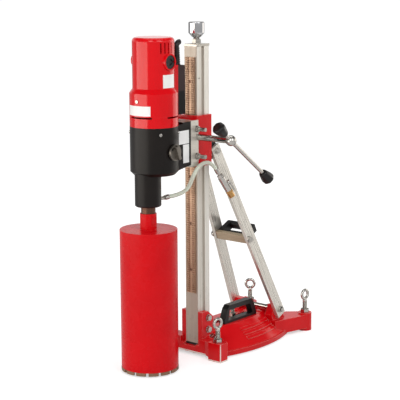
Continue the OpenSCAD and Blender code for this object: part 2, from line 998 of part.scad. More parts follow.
module left_brace() {
  color([0.74, 0.74, 0.72])
    mirror([1, 0, 0])
      brace_bar();
}

module brace_head() {
  w = brace_head_x - brace_t / 2 + 4;
  color([0.06, 0.06, 0.06])
    difference() {
      along_x(-w, 2 * w)
        polygon([
          [col_y, brace_head_z - 26],
          [head_y1, brace_head_z - 26],
          [head_y1, brace_head_z + 18],
          [head_y1 - 14, brace_head_z + head_up],
          [col_y, brace_head_z + head_up]
        ]);
      both()
        at_brace() {
          brace_side(fit);
          rod_x(-brace_t / 2 - 22, 0, brace_len, m10_r, 40);
        }
      for (z = [brace_head_z - 14, brace_head_z + 12]) {
        rod_y(0, col_y - eps, z, m6_r + fit, head_y1);
        rod_y(0, col_y + 12, z, m6_head_r + fit, head_y1);
      }
    }
}

module brace_crossbar() {
  w = brace_foot_x;
  color([0.74, 0.73, 0.7])
    difference() {
      at_cross()
        translate([-w, cross_y - cross_t / 2, cross_z - cross_h / 2])
          cube([2 * w, cross_t, cross_h]);
      both()
        at_brace() {
          brace_side(fit);
          rod_x(-brace_t / 2 - 26, cross_y, cross_at, m10_r, 40);
        }
      at_cross()
        both()
          rod_y(cross_half - grip_screw_in, cross_y - 3, grip_z, m6_r, cross_t);
    }
}

// A bow on the back of the cross bar, with its rear bar rounded off
module brace_grip() {
  w = cross_half - 4;
  y1 = grip_y + grip_reach;
  y_in = y1 - 21;
  edge = grip_t / 2 - 6;
  color([0.05, 0.05, 0.05])
    at_cross()
      difference() {
        intersection() {
          translate([0, 0, grip_z - grip_t / 2])
            linear_extrude(grip_t)
              polygon([
                [-w, grip_y],
                [w, grip_y],
                [w, y1 - 8],
                [w - 8, y1],
                [8 - w, y1],
                [-w, y1 - 8]
              ]);
          along_x(-w, 2 * w)
            polygon([
              [grip_y, grip_z - grip_t / 2],
              [y1 - 6, grip_z - grip_t / 2],
              [y1, grip_z - edge],
              [y1, grip_z + edge],
              [y1 - 6, grip_z + grip_t / 2],
              [grip_y, grip_z + grip_t / 2]
            ]);
        }
        along_x(16 - w, 2 * w - 32)
          polygon([
            [grip_y + grip_strip, grip_z - grip_t],
            [y_in + 5, grip_z - grip_t],
            [y_in + 5, grip_z - grip_t / 2],
            [y_in, grip_z - edge],
            [y_in, grip_z + edge],
            [y_in + 5, grip_z + grip_t / 2],
            [y_in + 5, grip_z + grip_t],
            [grip_y + grip_strip, grip_z + grip_t]
          ]);
        both() {
          rod_y(cross_half - grip_screw_in, grip_y - eps, grip_z, m6_r + fit, grip_strip + 2 * eps);
          rod_y(cross_half - grip_screw_in, grip_y + 5, grip_z, m6_head_r + fit, grip_strip);
        }
      }
}

module brace_pivot_rod() {
  w = brace_foot_x + brace_t / 2 + 12;
  color([0.7, 0.7, 0.7])
    rod_x(-w, brace_foot_y, brace_foot_z, rod_r, 2 * w);
}

module brace_bolts() {
  color([0.75, 0.75, 0.76]) {
    both()
      at_brace() {
        translate([brace_t / 2, 0, brace_len])
          bolt_x(brace_t + 20, m10_r - 0.02);
        translate([brace_t / 2, cross_y, cross_at])
          bolt_x(brace_t + 24, m10_r - 0.02);
        translate([brace_t / 2, 0, 0])
          rotate([0, 90, 0])
            difference() {
              hex(19, 9);
              translate([0, 0, -eps])
                cylinder(r = rod_r + 1.5, h = 9 + 2 * eps);
            }
      }
    for (z = [brace_head_z - 14, brace_head_z + 12]) {
      rod_y(0, col_y + 12, z, m6_head_r, m6_head_h);
      rod_y(0, cavity_y, z, m6_r - 0.02, col_y - cavity_y + 12);
    }
  }
}

// Levelling screws and jack

module leveling_lock_nuts() {
  color([0.75, 0.75, 0.76])
    both()
      for (p = [[foot_front_x, -foot_front_y], [foot_rear_x, foot_rear_y]])
        translate([p[0], p[1], foot_h])
          difference() {
            hex(level_nut_af, level_nut_h);
            translate([0, 0, -eps])
              cylinder(r = level_r + run, h = level_nut_h + 2 * eps);
          }
}

module leveling_pad(x, y) {
  color([0.3, 0.3, 0.3])
    translate([x, y, 1]) {
      cylinder(r = pad_r, h = pad_t);
      translate([0, 0, pad_t - eps])
        cylinder(r = level_r / 2, h = pad_t + eps);
    }
}

module leveling_screw(x, y, turn) {
  z0 = 1 + pad_t + run;
  color([0.75, 0.75, 0.76])
    translate([x, y, 0])
      difference() {
        union() {
          rod_z(0, 0, z0, level_r, eye_z - eye_r - z0);
          translate([0, 0, eye_z])
            rotate([90, 0, turn])
              rotate_extrude()
                translate([eye_r, 0])
                  circle(r = eye_wire);
        }
        rod_z(0, 0, z0 - eps, level_r / 2 + run, pad_t + run + eps);
      }
}

module leveling_pad_front_right() {
  leveling_pad(foot_front_x, -foot_front_y);
}

module leveling_pad_front_left() {
  leveling_pad(-foot_front_x, -foot_front_y);
}

module leveling_pad_rear_right() {
  leveling_pad(foot_rear_x, foot_rear_y);
}

module leveling_pad_rear_left() {
  leveling_pad(-foot_rear_x, foot_rear_y);
}

module leveling_screw_front_right() {
  leveling_screw(foot_front_x, -foot_front_y, 78);
}

module leveling_screw_front_left() {
  leveling_screw(-foot_front_x, -foot_front_y, 0);
}

module leveling_screw_rear_right() {
  leveling_screw(foot_rear_x, foot_rear_y, 84);
}

module leveling_screw_rear_left() {
  leveling_screw(-foot_rear_x, foot_rear_y, 35);
}

module jack_cup() {
  color([0.85, 0.85, 0.87])
    translate([0, 0, cup_z])
      rotate_extrude()
        polygon([
          [jack_r + run, 0],
          [jack_r + 3, 0],
          [cup_r, cup_taper],
          [cup_r, cup_taper + cup_h - 2],
          [cup_r - 2, cup_taper + cup_h],
          [0, cup_taper + cup_h],
          [0, cup_taper + 8],
          [jack_r + run, cup_taper + 8]
        ]);
}

module jack_screw() {
  color([0.7, 0.7, 0.72])
    rod_z(0, 0, cup_z + cup_taper + 8 - run - jack_len, jack_r, jack_len);
}

// Carriage

module carriage() {
  top = car_z + car_h;
  color([0.78, 0.05, 0.08])
    difference() {
      union() {
        translate([-car_x, shoulder_y, car_z])
          cube([2 * car_x, car_rear - shoulder_y, car_h]);
        translate([-car_x, nose_y, plate_z])
          cube([2 * car_x, jaw_deep + eps, plate_h]);
      }
      translate([-channel_x, channel_y, car_z - eps])
        cube([2 * channel_x, car_rear - channel_y + eps, car_h + 2 * eps]);
      rod_x(-rack_w / 2 - 2, feed_y, feed_z, pinion_tip + 0.8, rack_w + 4);
      rod_x(-car_x - eps, feed_y, feed_z, feed_r + run, 2 * car_x + 2 * eps);
      both()
        for (z = plate_bolts_z)
          rod_x(car_x - 20, plate_bolt_y, z, m10_r, 20 + eps);
    }
}

module guide_pads() {
  tongue = col_groove_deep - 0.5;
  color([0.9, 0.88, 0.8])
    both()
      for (z = [car_z + 4, car_z + car_h - guide_h - 4])
        translate([col_x + run, 0, z])
          union() {
            translate([0, -col_groove_w / 2 - 9, 0])
              cube([guide_t, col_groove_w + 18, guide_h]);
            translate([-tongue - run, -col_groove_w / 2 + run, 0])
              cube([tongue + run + guide_t, col_groove_w - 2 * run, guide_h]);
          }
}

module motor_plate() {
  color([0.76, 0.76, 0.75])
    difference() {
      translate([-plate_x, plate_y, plate_z])
        cube([2 * plate_x, plate_t + jaw_deep, plate_h]);
      translate([-car_x - fit, nose_y, plate_z - eps])
        cube([2 * car_x + 2 * fit, jaw_deep + eps, plate_h + 2 * eps]);
      both() {
        for (z = plate_bolts_z)
          rod_x(car_x - eps, plate_bolt_y, z, m10_r + 0.3, jaw_t + 2 * eps);
        rod_x(car_x - eps, feed_y, feed_z, feed_r + 0.6, jaw_t + 2 * eps);
        for (z = [plate_z + 22, plate_z + plate_h - 30]) {
          rod_y(block_half_w - 20, plate_y - eps, z, m6_r + fit, plate_t + 2 * eps);
          rod_y(block_half_w - 20, nose_y - m6_head_h - 1, z, m6_head_r + fit, 10);
        }
      }
    }
}

module plate_clamp_bolts() {
  color([0.75, 0.75, 0.76])
    both()
      for (z = plate_bolts_z)
        translate([plate_x, plate_bolt_y, z])
          union() {
            bolt_x(jaw_t + 20, m10_r - 0.02);
            rotate([0, 90, 0])
              cylinder(r = m10_r + 1.5, h = clamp_out);
          }
}

module feed_shaft() {
  half = rack_w / 2;
  color([0.72, 0.72, 0.72])
    difference() {
      union() {
        translate([-half, feed_y, feed_z])
          rotate([90, 0, 90])
            spur(pinion_teeth, rack_module, rack_w);
        rod_x(-car_x + 1, feed_y, feed_z, feed_r, hub_x + car_x - 1);
        translate([hub_x, feed_y, feed_z])
          sphere(r = hub_r);
      }
      at_bar()
        translate([0, 0, -2 * hub_r])
          cylinder(r = bar_r + run, h = 4 * hub_r);
    }
}

// The frame of the feed bar: its +Z runs down the bar from the hub
module at_bar() {
  translate([hub_x, feed_y, feed_z])
    rotate([-90 - bar_tilt, 0, 0])
      children();
}

module feed_bar() {
  color([0.78, 0.78, 0.79])
    at_bar()
      translate([0, 0, -bar_up])
        cylinder(r = bar_r, h = bar_up + bar_down);
}

module knob_turn() {
  difference() {
    rotate_extrude()
      polygon([
        [0, -knob_len / 2],
        [bar_r + 4, -knob_len / 2],
        [bar_r + 6, -knob_len / 2 + 4],
        [knob_r, knob_len / 2 - 14],
        [knob_r, knob_len / 2 - 6],
        [knob_r - 5, knob_len / 2],
        [0, knob_len / 2]
      ]);
    translate([0, 0, -knob_len])
      cylinder(r = bar_r + 0.02, h = knob_len);
  }
}

module feed_knobs() {
  color([0.04, 0.04, 0.04])
    at_bar() {
      translate([0, 0, bar_down])
        knob_turn();
      translate([0, 0, -bar_up])
        rotate([180, 0, 0])
          knob_turn();
    }
}

// Gear housing

module gear_housing() {
  color([0.07, 0.07, 0.07])
    difference() {
      union() {
        translate([0, motor_c, 0])
          rotate_extrude()
            polygon([
              [0, gear_z],
              [gear_r - 10, gear_z],
              [gear_r, gear_z + 10],
              [gear_r, gear_top],
              [0, gear_top]
            ]);
        along_x(-block_half_w, 2 * block_half_w)
          polygon([
            [motor_c, gear_z],
            [plate_y, gear_z + block_rise],
            [plate_y, block_top],
            [motor_c + gear_r + 0.3, block_top],
            [motor_c + gear_r + 0.3, gear_top],
            [motor_c, gear_top]
          ]);
        translate([0, spin_y, nose_z])
          rotate_extrude()
            polygon([
              [0, 0],
              [nose_r - 3, 0],
              [nose_r, 3],
              [nose_r, nose_len + 8],
              [0, nose_len + 8]
            ]);
        rod_x(gear_r - 20, select_y, select_z, 19, select_x - gear_r + 20);
      }
      rod_z(0, motor_c, floor_z, gear_in, gear_h);
      along_x(6 - block_half_w, 2 * block_half_w - 12)
        polygon([
          [motor_c, floor_z + 8],
          [plate_y - 7, gear_z + block_rise + 7],
          [plate_y - 7, gear_top - 6],
          [motor_c, gear_top - 6]
        ]);
      rod_z(0, spin_y, nose_z + 4, race_r, nose_len + 8);
      rod_z(0, spin_y, nose_z - eps, collar_r + 1, 4 + 2 * eps);
      rod_y(0, water_y - 10, water_z, 6, 12);
      rod_x(gear_r - 22, select_y, select_z, 6 + run, 30);
      for (a = [-33, -147, 33, 147])
        translate([0, motor_c, screw_z])
          rotate([0, 0, a])
            rod_x(gear_in - eps, 0, 0, m6_r + fit, 20);
      both()
        for (z = [plate_z + 22, plate_z + plate_h - 30])
          rod_y(block_half_w - 20, plate_y - 7 - eps, z, m6_r, 10);
    }
}

module bearings() {
  color([0.8, 0.8, 0.82]) {
    for (z = [nose_z + 4 + chamber_h, floor_z - race_h - 4])
      translate([0, spin_y, z])
        ring(race_r, spindle_r + run, race_h);
    for (z = [floor_z, gear_top - flange_deep])
      translate([inter_x, inter_y, z])
        ring(small_race_r, shaft_r + run, small_race_h);
    translate([0, motor_c, gear_top + 6])
      ring(arm_race_r, arm_r + run, arm_race_h);
    translate([0, motor_c, top_z])
      ring(small_race_r, top_r + run, small_race_h);
  }
}

module spindle() {
  color([0.35, 0.33, 0.32])
    translate([0, spin_y, 0])
      difference() {
        rotate_extrude()
          polygon([
            [0, bit_top + 4],
            [thread_r, bit_top + 4],
            [thread_r, hub_top],
            [collar_r, hub_top],
            [collar_r, nose_z + 1],
            [spindle_r, nose_z + 3],
            [spindle_r, second_z - 2],
            [gear_seat_r, second_z - 2],
            [gear_seat_r, second_z + second_h + 4],
            [0, second_z + second_h + 4]
          ]);
        rod_z(0, 0, bit_top, 6, water_z - bit_top + 6);
        rod_x(-2 * spindle_r, 0, water_z, 3, 4 * spindle_r);
      }
}

module spindle_gear() {
  color([0.5, 0.5, 0.5])
    translate([0, spin_y, second_z])
      difference() {
        rotate([0, 0, second_dir])
          spur(final_teeth, second_module, second_h);
        translate([0, 0, -eps])
          cylinder(r = gear_seat_r + 0.02, h = second_h + 2 * eps);
      }
}

module intermediate_gear() {
  color([0.5, 0.5, 0.5])
    translate([inter_x, inter_y, 0])
      union() {
        rod_z(0, 0, floor_z + 0.3, shaft_r, gear_top - flange_deep + small_race_h - floor_z - 0.6);
        translate([0, 0, second_z])
          rotate([0, 0, second_dir + 180 + 180 / second_teeth])
            spur(second_teeth, second_module, second_h);
        translate([0, 0, first_z])
          rotate([0, 0, first_dir + 180 + 180 / inter_teeth])
            spur(inter_teeth, first_module, first_h);
      }
}

module armature() {
  color([0.6, 0.45, 0.3])
    translate([0, motor_c, 0])
      union() {
        translate([0, 0, first_z - 2])
          rotate([0, 0, first_dir])
            spur(arm_teeth, first_module, first_h + 4);
        rod_z(0, 0, first_z + first_h + 1, arm_r, top_z - first_z - first_h - 5);
        rod_z(0, 0, core_z, core_r, core_h);
        rod_z(0, 0, core_z + core_h + 10, motor_in - 14, 6);
        rod_z(0, 0, brush_z - 16, com_r, 32);
        rod_z(0, 0, top_z - 6, top_r, small_race_h + 5);
      }
}

module gear_selector() {
  color([0.7, 0.7, 0.7])
    translate([select_x + 0.3, select_y, select_z])
      rotate([0, 90, 0])
        union() {
          cylinder(r = selector_r, h = 7);
          translate([0, 0, -18])
            cylinder(r = 6, h = 19);
          rotate([0, 0, 20])
            translate([-selector_r + 3, -5, 6])
              cube([2 * selector_r - 6, 10, 14]);
        }
}

// Motor

module motor_flange() {
  boss_r = small_race_r + 3;
  color([0.8, 0.05, 0.08])
    difference() {
      union() {
        translate([0, motor_c, gear_top])
          cylinder(r = gear_r, h = flange_h);
        translate([0, motor_c, gear_top - flange_deep])
          ring(gear_in - fit, gear_in - 6, flange_deep + 2);
        translate([0, motor_c, flange_top - eps])
          ring(wide_in - fit, wide_in - 6, spigot_h + eps);
        intersection() {
          rod_z(inter_x, inter_y, gear_top - flange_deep, boss_r, flange_deep + 2);
          rod_z(0, motor_c, gear_top - flange_deep, gear_in - fit, flange_deep + 2);
        }
      }
      rod_z(0, motor_c, gear_top + 18, wide_in - 6, flange_h + 2 * spigot_h);
      rod_z(0, motor_c, gear_top + 6, arm_race_r, flange_h);
      rod_z(0, motor_c, gear_top - eps, arm_r + 2, flange_h);
      rod_z(inter_x, inter_y, gear_top - flange_deep - 1, small_race_r, small_race_h + 1);
      for (a = [-33, -147, 33, 147])
        translate([0, motor_c, screw_z])
          rotate([0, 0, a])
            rod_x(gear_in - 8, 0, 0, m6_r, 20);
      for (a = [-115, -15, 135])
        translate([0, motor_c, flange_top - 5])
          rotate([0, 0, a])
            rotate_extrude(angle = 62)
              translate([wide_in - 8, 0])
                square([gear_r, 5 + eps]);
    }
}

module stator_screws_at() {
  for (a = [-90, 180])
    translate([0, motor_c, core_z + 39])
      rotate([0, 0, a])
        children();
}

module motor_housing() {
  fair_x = switch_half_w + 4;
  color([0.8, 0.05, 0.08])
    difference() {
      union() {
        translate([0, motor_c, 0])
          rotate_extrude()
            polygon([
              [0, flange_top],
              [gear_r, flange_top],
              [gear_r, wide_top],
              [motor_r, narrow_z],
              [motor_r, end_z],
              [0, end_z]
            ]);
        translate([-fair_x, motor_c, flange_top + 10])
          cube([2 * fair_x, switch_y - motor_c, end_z - flange_top - 20]);
      }
      difference() {
        translate([0, motor_c, 0])
          rotate_extrude()
            polygon([
              [0, flange_top - eps],
              [wide_in, flange_top - eps],
              [wide_in, wide_top - 3],
              [motor_in, narrow_z - 3],
              [motor_in, end_z + eps],
              [0, end_z + eps]
            ]);
        for (a = [0, 90, 180, 270])
          translate([0, motor_c, flange_top + spigot_h + 1])
            rotate([0, 0, a])
              translate([stator_r + fit, -8, 0])
                cube([gear_r, 16, core_h - 4]);
      }
      both()
        rod_x(0, motor_c, brush_z, brush_r + 4 + fit, 2 * motor_r);
      stator_screws_at()
        rod_x(stator_r - eps, 0, 0, m6_r, 40);
    }
}

module field_stator() {
  color([0.5, 0.3, 0.2])
    translate([0, motor_c, flange_top + spigot_h + 1])
      ring(stator_r, stator_in, core_h - 4);
}

module motor_end_cap() {
  color([0.8, 0.05, 0.08])
    difference() {
      union() {
        translate([0, motor_c, 0])
          rotate_extrude() {
            translate([0, end_z])
              square([motor_r, end_h - end_round]);
            translate([0, end_z])
              square([motor_r - end_round, end_h]);
            translate([motor_r - end_round, end_top - end_round])
              intersection() {
                circle(r = end_round);
                square([end_round, end_round]);
              }
          }
        translate([0, motor_c, end_z - spigot_h])
          cylinder(r = motor_in - fit, h = spigot_h + eps);
        both()
          rod_x(motor_in - 6, motor_c, brush_z, brush_r + 4, brush_x - motor_in + 6);
      }
      difference() {
        translate([0, motor_c, end_z - spigot_h - eps])
          cylinder(r = motor_in - 4, h = end_h + spigot_h + eps - 6);
        rod_z(0, motor_c, top_z - 2, small_race_r + 5, end_h);
        both()
          rod_x(com_r + 6, motor_c, brush_z, brush_r, motor_r);
      }
      rod_z(0, motor_c, top_z - 3, small_race_r, small_race_h + 3);
      rod_z(0, motor_c, top_z - 3, top_r + 2, small_race_h + 8);
      both() {
        rod_x(0, motor_c, brush_z, brush_r - 4 + fit, 2 * motor_r);
        rod_x(brush_x - 10, motor_c, brush_z, brush_r + fit, motor_r);
      }
      for (s = [0, 180])
        for (a = [-27, -15, -3, 9])
          translate([0, motor_c, brush_z + brush_r + 5])
            rotate([0, 0, a + s])
              translate([motor_in - 8, -2, 0])
                cube([20, 4, 32]);
    }
}

module brush_caps() {
  color([0.05, 0.05, 0.05])
    both()
      difference() {
        union() {
          rod_x(brush_x - 10, motor_c, brush_z, brush_r, 8);
          rod_x(brush_x - 14, motor_c, brush_z, brush_r - 4, 8);
        }
        rod_x(brush_x - 5, motor_c, brush_z, brush_r / 2, 10);
        translate([brush_x - 5, motor_c - brush_r, brush_z - 2])
          cube([6, 2 * brush_r, 4]);
      }
}

module carbon_brushes() {
  w = 12;
  color([0.2, 0.2, 0.2])
    both()
      translate([com_r + 0.3, motor_c - w / 2, brush_z - 4])
        cube([brush_x - 14 - com_r - 0.3, w, 8]);
}

module switch_housing() {
  y1 = switch_y + switch_d;
  color([0.08, 0.08, 0.08])
    difference() {
      along_x(-switch_half_w, 2 * switch_half_w)
        polygon([
          [switch_y, switch_z],
          [y1, switch_z],
          [y1, switch_z + switch_h - 3],
          [y1 - 3, switch_z + switch_h],
          [switch_y, switch_z + switch_h]
        ]);
      translate([12 - switch_half_w, switch_y + 4, switch_z + 4])
        cube([2 * switch_half_w - 16, switch_d - 8, switch_h - 16]);
      translate([-switch_half_w - 1, rocker_y - 10, rocker_z - rocker_half - 2])
        cube([10, 20, 2 * rocker_half + 4]);
      rod_y(3 - switch_half_w, rocker_y - 14, rocker_z, 2 + run, 28);
    }
}

module rocker_switch() {
  color([0.15, 0.15, 0.15])
    translate([3 - switch_half_w, rocker_y, rocker_z])
      union() {
        rotate([90, 0, 0])
          translate([0, 0, -13])
            cylinder(r = 2, h = 26);
        rotate([0, -7, 0])
          translate([-5, -9.6, -rocker_half])
            cube([7.5, 19.2, 2 * rocker_half]);
      }
}

module cord_boot() {
  tip_r = boot_r - 2.5;
  step = boot_h / boot_ribs;
  color([0.04, 0.04, 0.04])
    translate([0, boot_y, boot_z])
      difference() {
        union() {
          cylinder(r1 = boot_r - 1.5, r2 = tip_r - 1, h = boot_h);
          for (i = [0 : boot_ribs - 1])
            translate([0, 0, i * step])
              cylinder(r = boot_r - 2.5 * i / boot_ribs, h = step * 0.6);
          translate([0, boot_bend, boot_h])
            rotate([90, 0, 90])
              rotate([0, 0, 90])
                rotate_extrude(angle = 90)
                  translate([boot_bend, 0])
                    circle(r = tip_r - 1);
        }
        translate([0, boot_bend - 6, boot_h + boot_bend])
          rotate([-90, 0, 0])
            cylinder(r = 4.5, h = 8);
      }
}

// A bowed plate on a round wall, centred on an angle
module bowed_plate(r, z, h, a, half) {
  translate([0, motor_c, z])
    rotate([0, 0, a - half])
      rotate_extrude(angle = 2 * half)
        translate([r + fit, 0])
          square([label_t, h]);
}

module blank_plates() {
  color([0.93, 0.93, 0.92]) {
    bowed_plate(gear_r, flange_top + 4, front_label_h, -90, 34);
    bowed_plate(motor_r, narrow_z + 3, motor_label_h, 0, 22);
    translate([block_half_w, plate_y - label_edge - block_label[0], label_top - block_label[1]])
      cube([label_t, block_label[0], block_label[1]]);
    translate([block_half_w, plate_y - label_edge - lower_label[0], lower_label_z])
      cube([label_t, lower_label[0], lower_label[1]]);
  }
}

// A socket screw's head along +X
module socket_head(r, h) {
  rotate([0, 90, 0])
    difference() {
      cylinder(r = r, h = h);
      translate([0, 0, h / 2])
        hex(r, h);
    }
}

module housing_screws() {
  color([0.75, 0.75, 0.76]) {
    for (a = [-33, -147, 33, 147])
      translate([0, motor_c, screw_z])
        rotate([0, 0, a]) {
          translate([gear_r, 0, 0])
            socket_head(m6_head_r, m6_head_h - 1);
          rod_x(gear_in - 6, 0, 0, m6_r - 0.02, gear_wall + 6);
        }
    stator_screws_at() {
      translate([gear_r, 0, 0])
        socket_head(m6_head_r, m6_head_h - 1);
      rod_x(stator_r + 1, 0, 0, m6_r - 0.02, gear_r - stator_r - 1);
    }
    both()
      for (z = [plate_z + 22, plate_z + plate_h - 30]) {
        rod_y(block_half_w - 20, nose_y - m6_head_h - 1, z, m6_head_r, m6_head_h);
        rod_y(block_half_w - 20, plate_y - 7, z, m6_r - 0.02, plate_t + 7 - m6_head_h - 1);
      }
  }
}

// Water line

module water_fitting() {
  color([0.7, 0.55, 0.3])
    translate([0, water_y, water_z])
      rotate([-90, 0, 0])
        difference() {
          union() {
            translate([0, 0, -6])
              cylinder(r = 6 - 0.02, h = 8);
            translate([0, 0, 0.5])
              hex(18, hex_len - 0.5);
            translate([0, 0, hex_len - eps])
              cylinder(r = 5, h = nipple_len - hex_len + eps);
            for (i = [0 : 2])
              translate([0, 0, nipple_len - 18 + 6 * i])
                cylinder(r1 = 6, r2 = 5, h = 5);
          }
          translate([0, 0, -7])
            cylinder(r = 2.5, h = nipple_len + 6);
        }
}

// A tube of rings along a route of points
function unit(v) = v / norm(v);
function along(p, i) = unit(p[min(i + 1, len(p) - 1)] - p[max(i - 1, 0)]);
function across(t) = unit(cross(t, [1, 0, 0.2]));
function tube_points(p, r, n) = [
  for (i = [0 : len(p) - 1])
    let (t = i == 0 ? [0, 1, 0] : i == len(p) - 1 ? valve_axis : along(p, i))
    let (u = across(t), v = cross(t, u))
      for (j = [0 : n - 1])
        p[i] + r * cos(360 * j / n) * u + r * sin(360 * j / n) * v
];
function tube_faces(m, n) = concat(
  [[for (j = [0 : n - 1]) j]],
  [for (i = [0 : m - 2]) for (j = [0 : n - 1])
    [i * n + j, (i + 1) * n + j, (i + 1) * n + (j + 1) % n]],
  [for (i = [0 : m - 2]) for (j = [0 : n - 1])
    [i * n + j, (i + 1) * n + (j + 1) % n, i * n + (j + 1) % n]],
  [[for (j = [0 : n - 1]) m * n - 1 - j]]
);

module water_hose() {
  color([0.8, 0.86, 0.78])
    polyhedron(
      tube_points(hose_pts, hose_r, hose_sides),
      tube_faces(len(hose_pts), hose_sides)
    );
}

// The frame of the valve: its +Z runs from the hose to the inlet
module at_valve() {
  translate(valve_at)
    rotate([valve_dir, 0, valve_yaw])
      children();
}

module valve_body() {
  color([0.75, 0.74, 0.7])
    at_valve()
      difference() {
        union() {
          translate([0, 0, 0.05])
            cylinder(r = 5, h = 16);
          translate([0, 0, 14])
            hex(18, hex_len);
          translate([0, 0, 14 + hex_len - eps])
            cylinder(r = valve_r, h = valve_len + eps);
          translate([0, 0, 14 + hex_len + valve_len / 2])
            rotate([90, 0, 0])
              cylinder(r = 7, h = valve_r + 4);
        }
        translate([0, 0, 14 + hex_len + valve_len / 2])
          rotate([90, 0, 0])
            translate([0, 0, valve_r - 6])
              cylinder(r = 3 + run, h = 20);
      }
}

module valve_inlet() {
  color([0.78, 0.55, 0.25])
    at_valve()
      translate([0, 0, 14 + hex_len + valve_len])
        difference() {
          union() {
            hex(2 * inlet_r + 1.2, 8);
            cylinder(r = inlet_r, h = inlet_len);
          }
          translate([0, 0, 4])
            cylinder(r = inlet_r - 3, h = inlet_len);
        }
}

module valve_lever() {
  color([0.7, 0.7, 0.7])
    at_valve()
      translate([0, 0, 14 + hex_len + valve_len / 2])
        rotate([90, 0, 0])
          difference() {
            union() {
              translate([0, 0, valve_r - 5])
                cylinder(r = 3, h = 14);
              translate([0, 0, valve_r + 4.3])
                cylinder(r = 7, h = 4);
              translate([-5, 0, valve_r + 4.3])
                cube([10, 30, 4]);
              translate([0, 30, valve_r + 4.3])
                cylinder(r = 5, h = 4);
            }
            translate([0, 30, valve_r])
              cylinder(r = 2, h = 20);
          }
}

// Core bit

module core_bit() {
  color([0.8, 0.06, 0.08])
    translate([0, spin_y, 0])
      difference() {
        rotate_extrude()
          polygon([
            [thread_r + 0.02, bit_top - bit_top_t],
            [bit_in, bit_top - bit_top_t],
            [bit_in, bit_low + seg_h],
            [bit_r, bit_low + seg_h],
            [bit_r, bit_top],
            [hub_bit_r, bit_top],
            [hub_bit_r, hub_top],
            [thread_r + 0.02, hub_top]
          ]);
        for (a = [0, 180])
          rotate([0, 0, a])
            translate([hub_bit_r - 3, -hub_bit_r, bit_top + 12])
              cube([10, 2 * hub_bit_r, hub_bit_h - 24]);
      }
}

module bit_segments() {
  turn = 360 / seg_n;
  color([0.55, 0.45, 0.33])
    translate([0, spin_y, bit_low])
      for (i = [0 : seg_n - 1])
        rotate([0, 0, i * turn])
          rotate_extrude(angle = turn * 0.8)
            translate([bit_in - 0.6, 0])
              square([bit_wall + 1.2, seg_h]);
}

base_casting();
base_handle();
stand_screws();
anchor_stud();
anchor_nut();
column();
column_foot_plug();
column_cap();
rack();
column_clamp_bolts();
right_brace();
left_brace();
brace_head();
brace_crossbar();
brace_grip();
brace_pivot_rod();
brace_bolts();
leveling_lock_nuts();
leveling_pad_front_right();
leveling_pad_front_left();
leveling_pad_rear_right();
leveling_pad_rear_left();
leveling_screw_front_right();
leveling_screw_front_left();
leveling_screw_rear_right();
leveling_screw_rear_left();
jack_cup();
jack_screw();
carriage();
guide_pads();
motor_plate();
plate_clamp_bolts();
gear_housing();
motor_flange();
motor_housing();
motor_end_cap();
brush_caps();
carbon_brushes();
field_stator();
switch_housing();
cord_boot();
blank_plates();
housing_screws();
bearings();
water_fitting();
water_hose();
valve_body();
valve_inlet();
valve_lever();
spindle();
spindle_gear();
core_bit();
bit_segments();
intermediate_gear();
armature();
feed_shaft();
feed_bar();
feed_knobs();
gear_selector();
rocker_switch();
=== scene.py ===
"""Looks of a core drill rig: finishes, threads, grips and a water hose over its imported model."""

import logging
import math
from dataclasses import dataclass
from enum import Enum
from typing import Sequence

import bpy
from mathutils import Matrix, Vector


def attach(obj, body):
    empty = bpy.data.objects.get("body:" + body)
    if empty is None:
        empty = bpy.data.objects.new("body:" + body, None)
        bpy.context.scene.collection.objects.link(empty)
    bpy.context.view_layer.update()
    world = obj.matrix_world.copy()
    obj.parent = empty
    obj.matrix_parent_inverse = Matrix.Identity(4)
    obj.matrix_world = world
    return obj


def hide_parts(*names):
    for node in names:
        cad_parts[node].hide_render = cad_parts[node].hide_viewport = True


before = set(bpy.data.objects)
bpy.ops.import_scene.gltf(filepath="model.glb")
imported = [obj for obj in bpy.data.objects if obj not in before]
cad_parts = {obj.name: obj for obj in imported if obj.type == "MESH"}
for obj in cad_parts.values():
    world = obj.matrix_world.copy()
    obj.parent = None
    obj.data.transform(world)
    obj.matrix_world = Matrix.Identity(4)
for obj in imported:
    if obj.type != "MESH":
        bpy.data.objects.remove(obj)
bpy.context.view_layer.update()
LOG = logging.getLogger("core_drill_rig")
MM = 0.001
JOIN_GAP = 0.00001
FLAT_ANGLE = math.radians(0.6)
SOFT_ANGLE = math.radians(32.0)
SHARP_ANGLE = math.radians(40.0)
NOISE_SPREAD = (0.3, 0.7)
NOISE_CLOUD = (0.35, 0.65)
EDGE_SAMPLES = 4
EDGE_SPREAD = (1.0, 0.8)
THREAD_DEPTH = 0.54
THREAD_RUNOUT = 0.8
THREAD_SLOPE = 2.4
THREAD_CREST = 0.1
THREAD_STEPS = 6
ROD_POINTS = 28
RING_POINTS = 44
WIRE_POINTS = 18

Colour = tuple[float, float, float]
Triple = tuple[float, float, float]


def srgb(red: int, green: int, blue: int) -> Colour:
    """Turn a colour as seen on a screen into the linear values that shaders take.

    Args:
        red: Red from 0 to 255.
        green: Green from 0 to 255.
        blue: Blue from 0 to 255.

    Returns:
        The three linear values from 0 to 1.
    """
    parts = [value / 255.0 for value in (red, green, blue)]
    return tuple(part / 12.92 if part <= 0.04045 else ((part + 0.055) / 1.055) ** 2.4 for part in parts)


class Slot(Enum):
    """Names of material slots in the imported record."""

    ZINC = "zinc_steel"
    BLACK = "black_plastic"
    HOSE = "clear_hose"


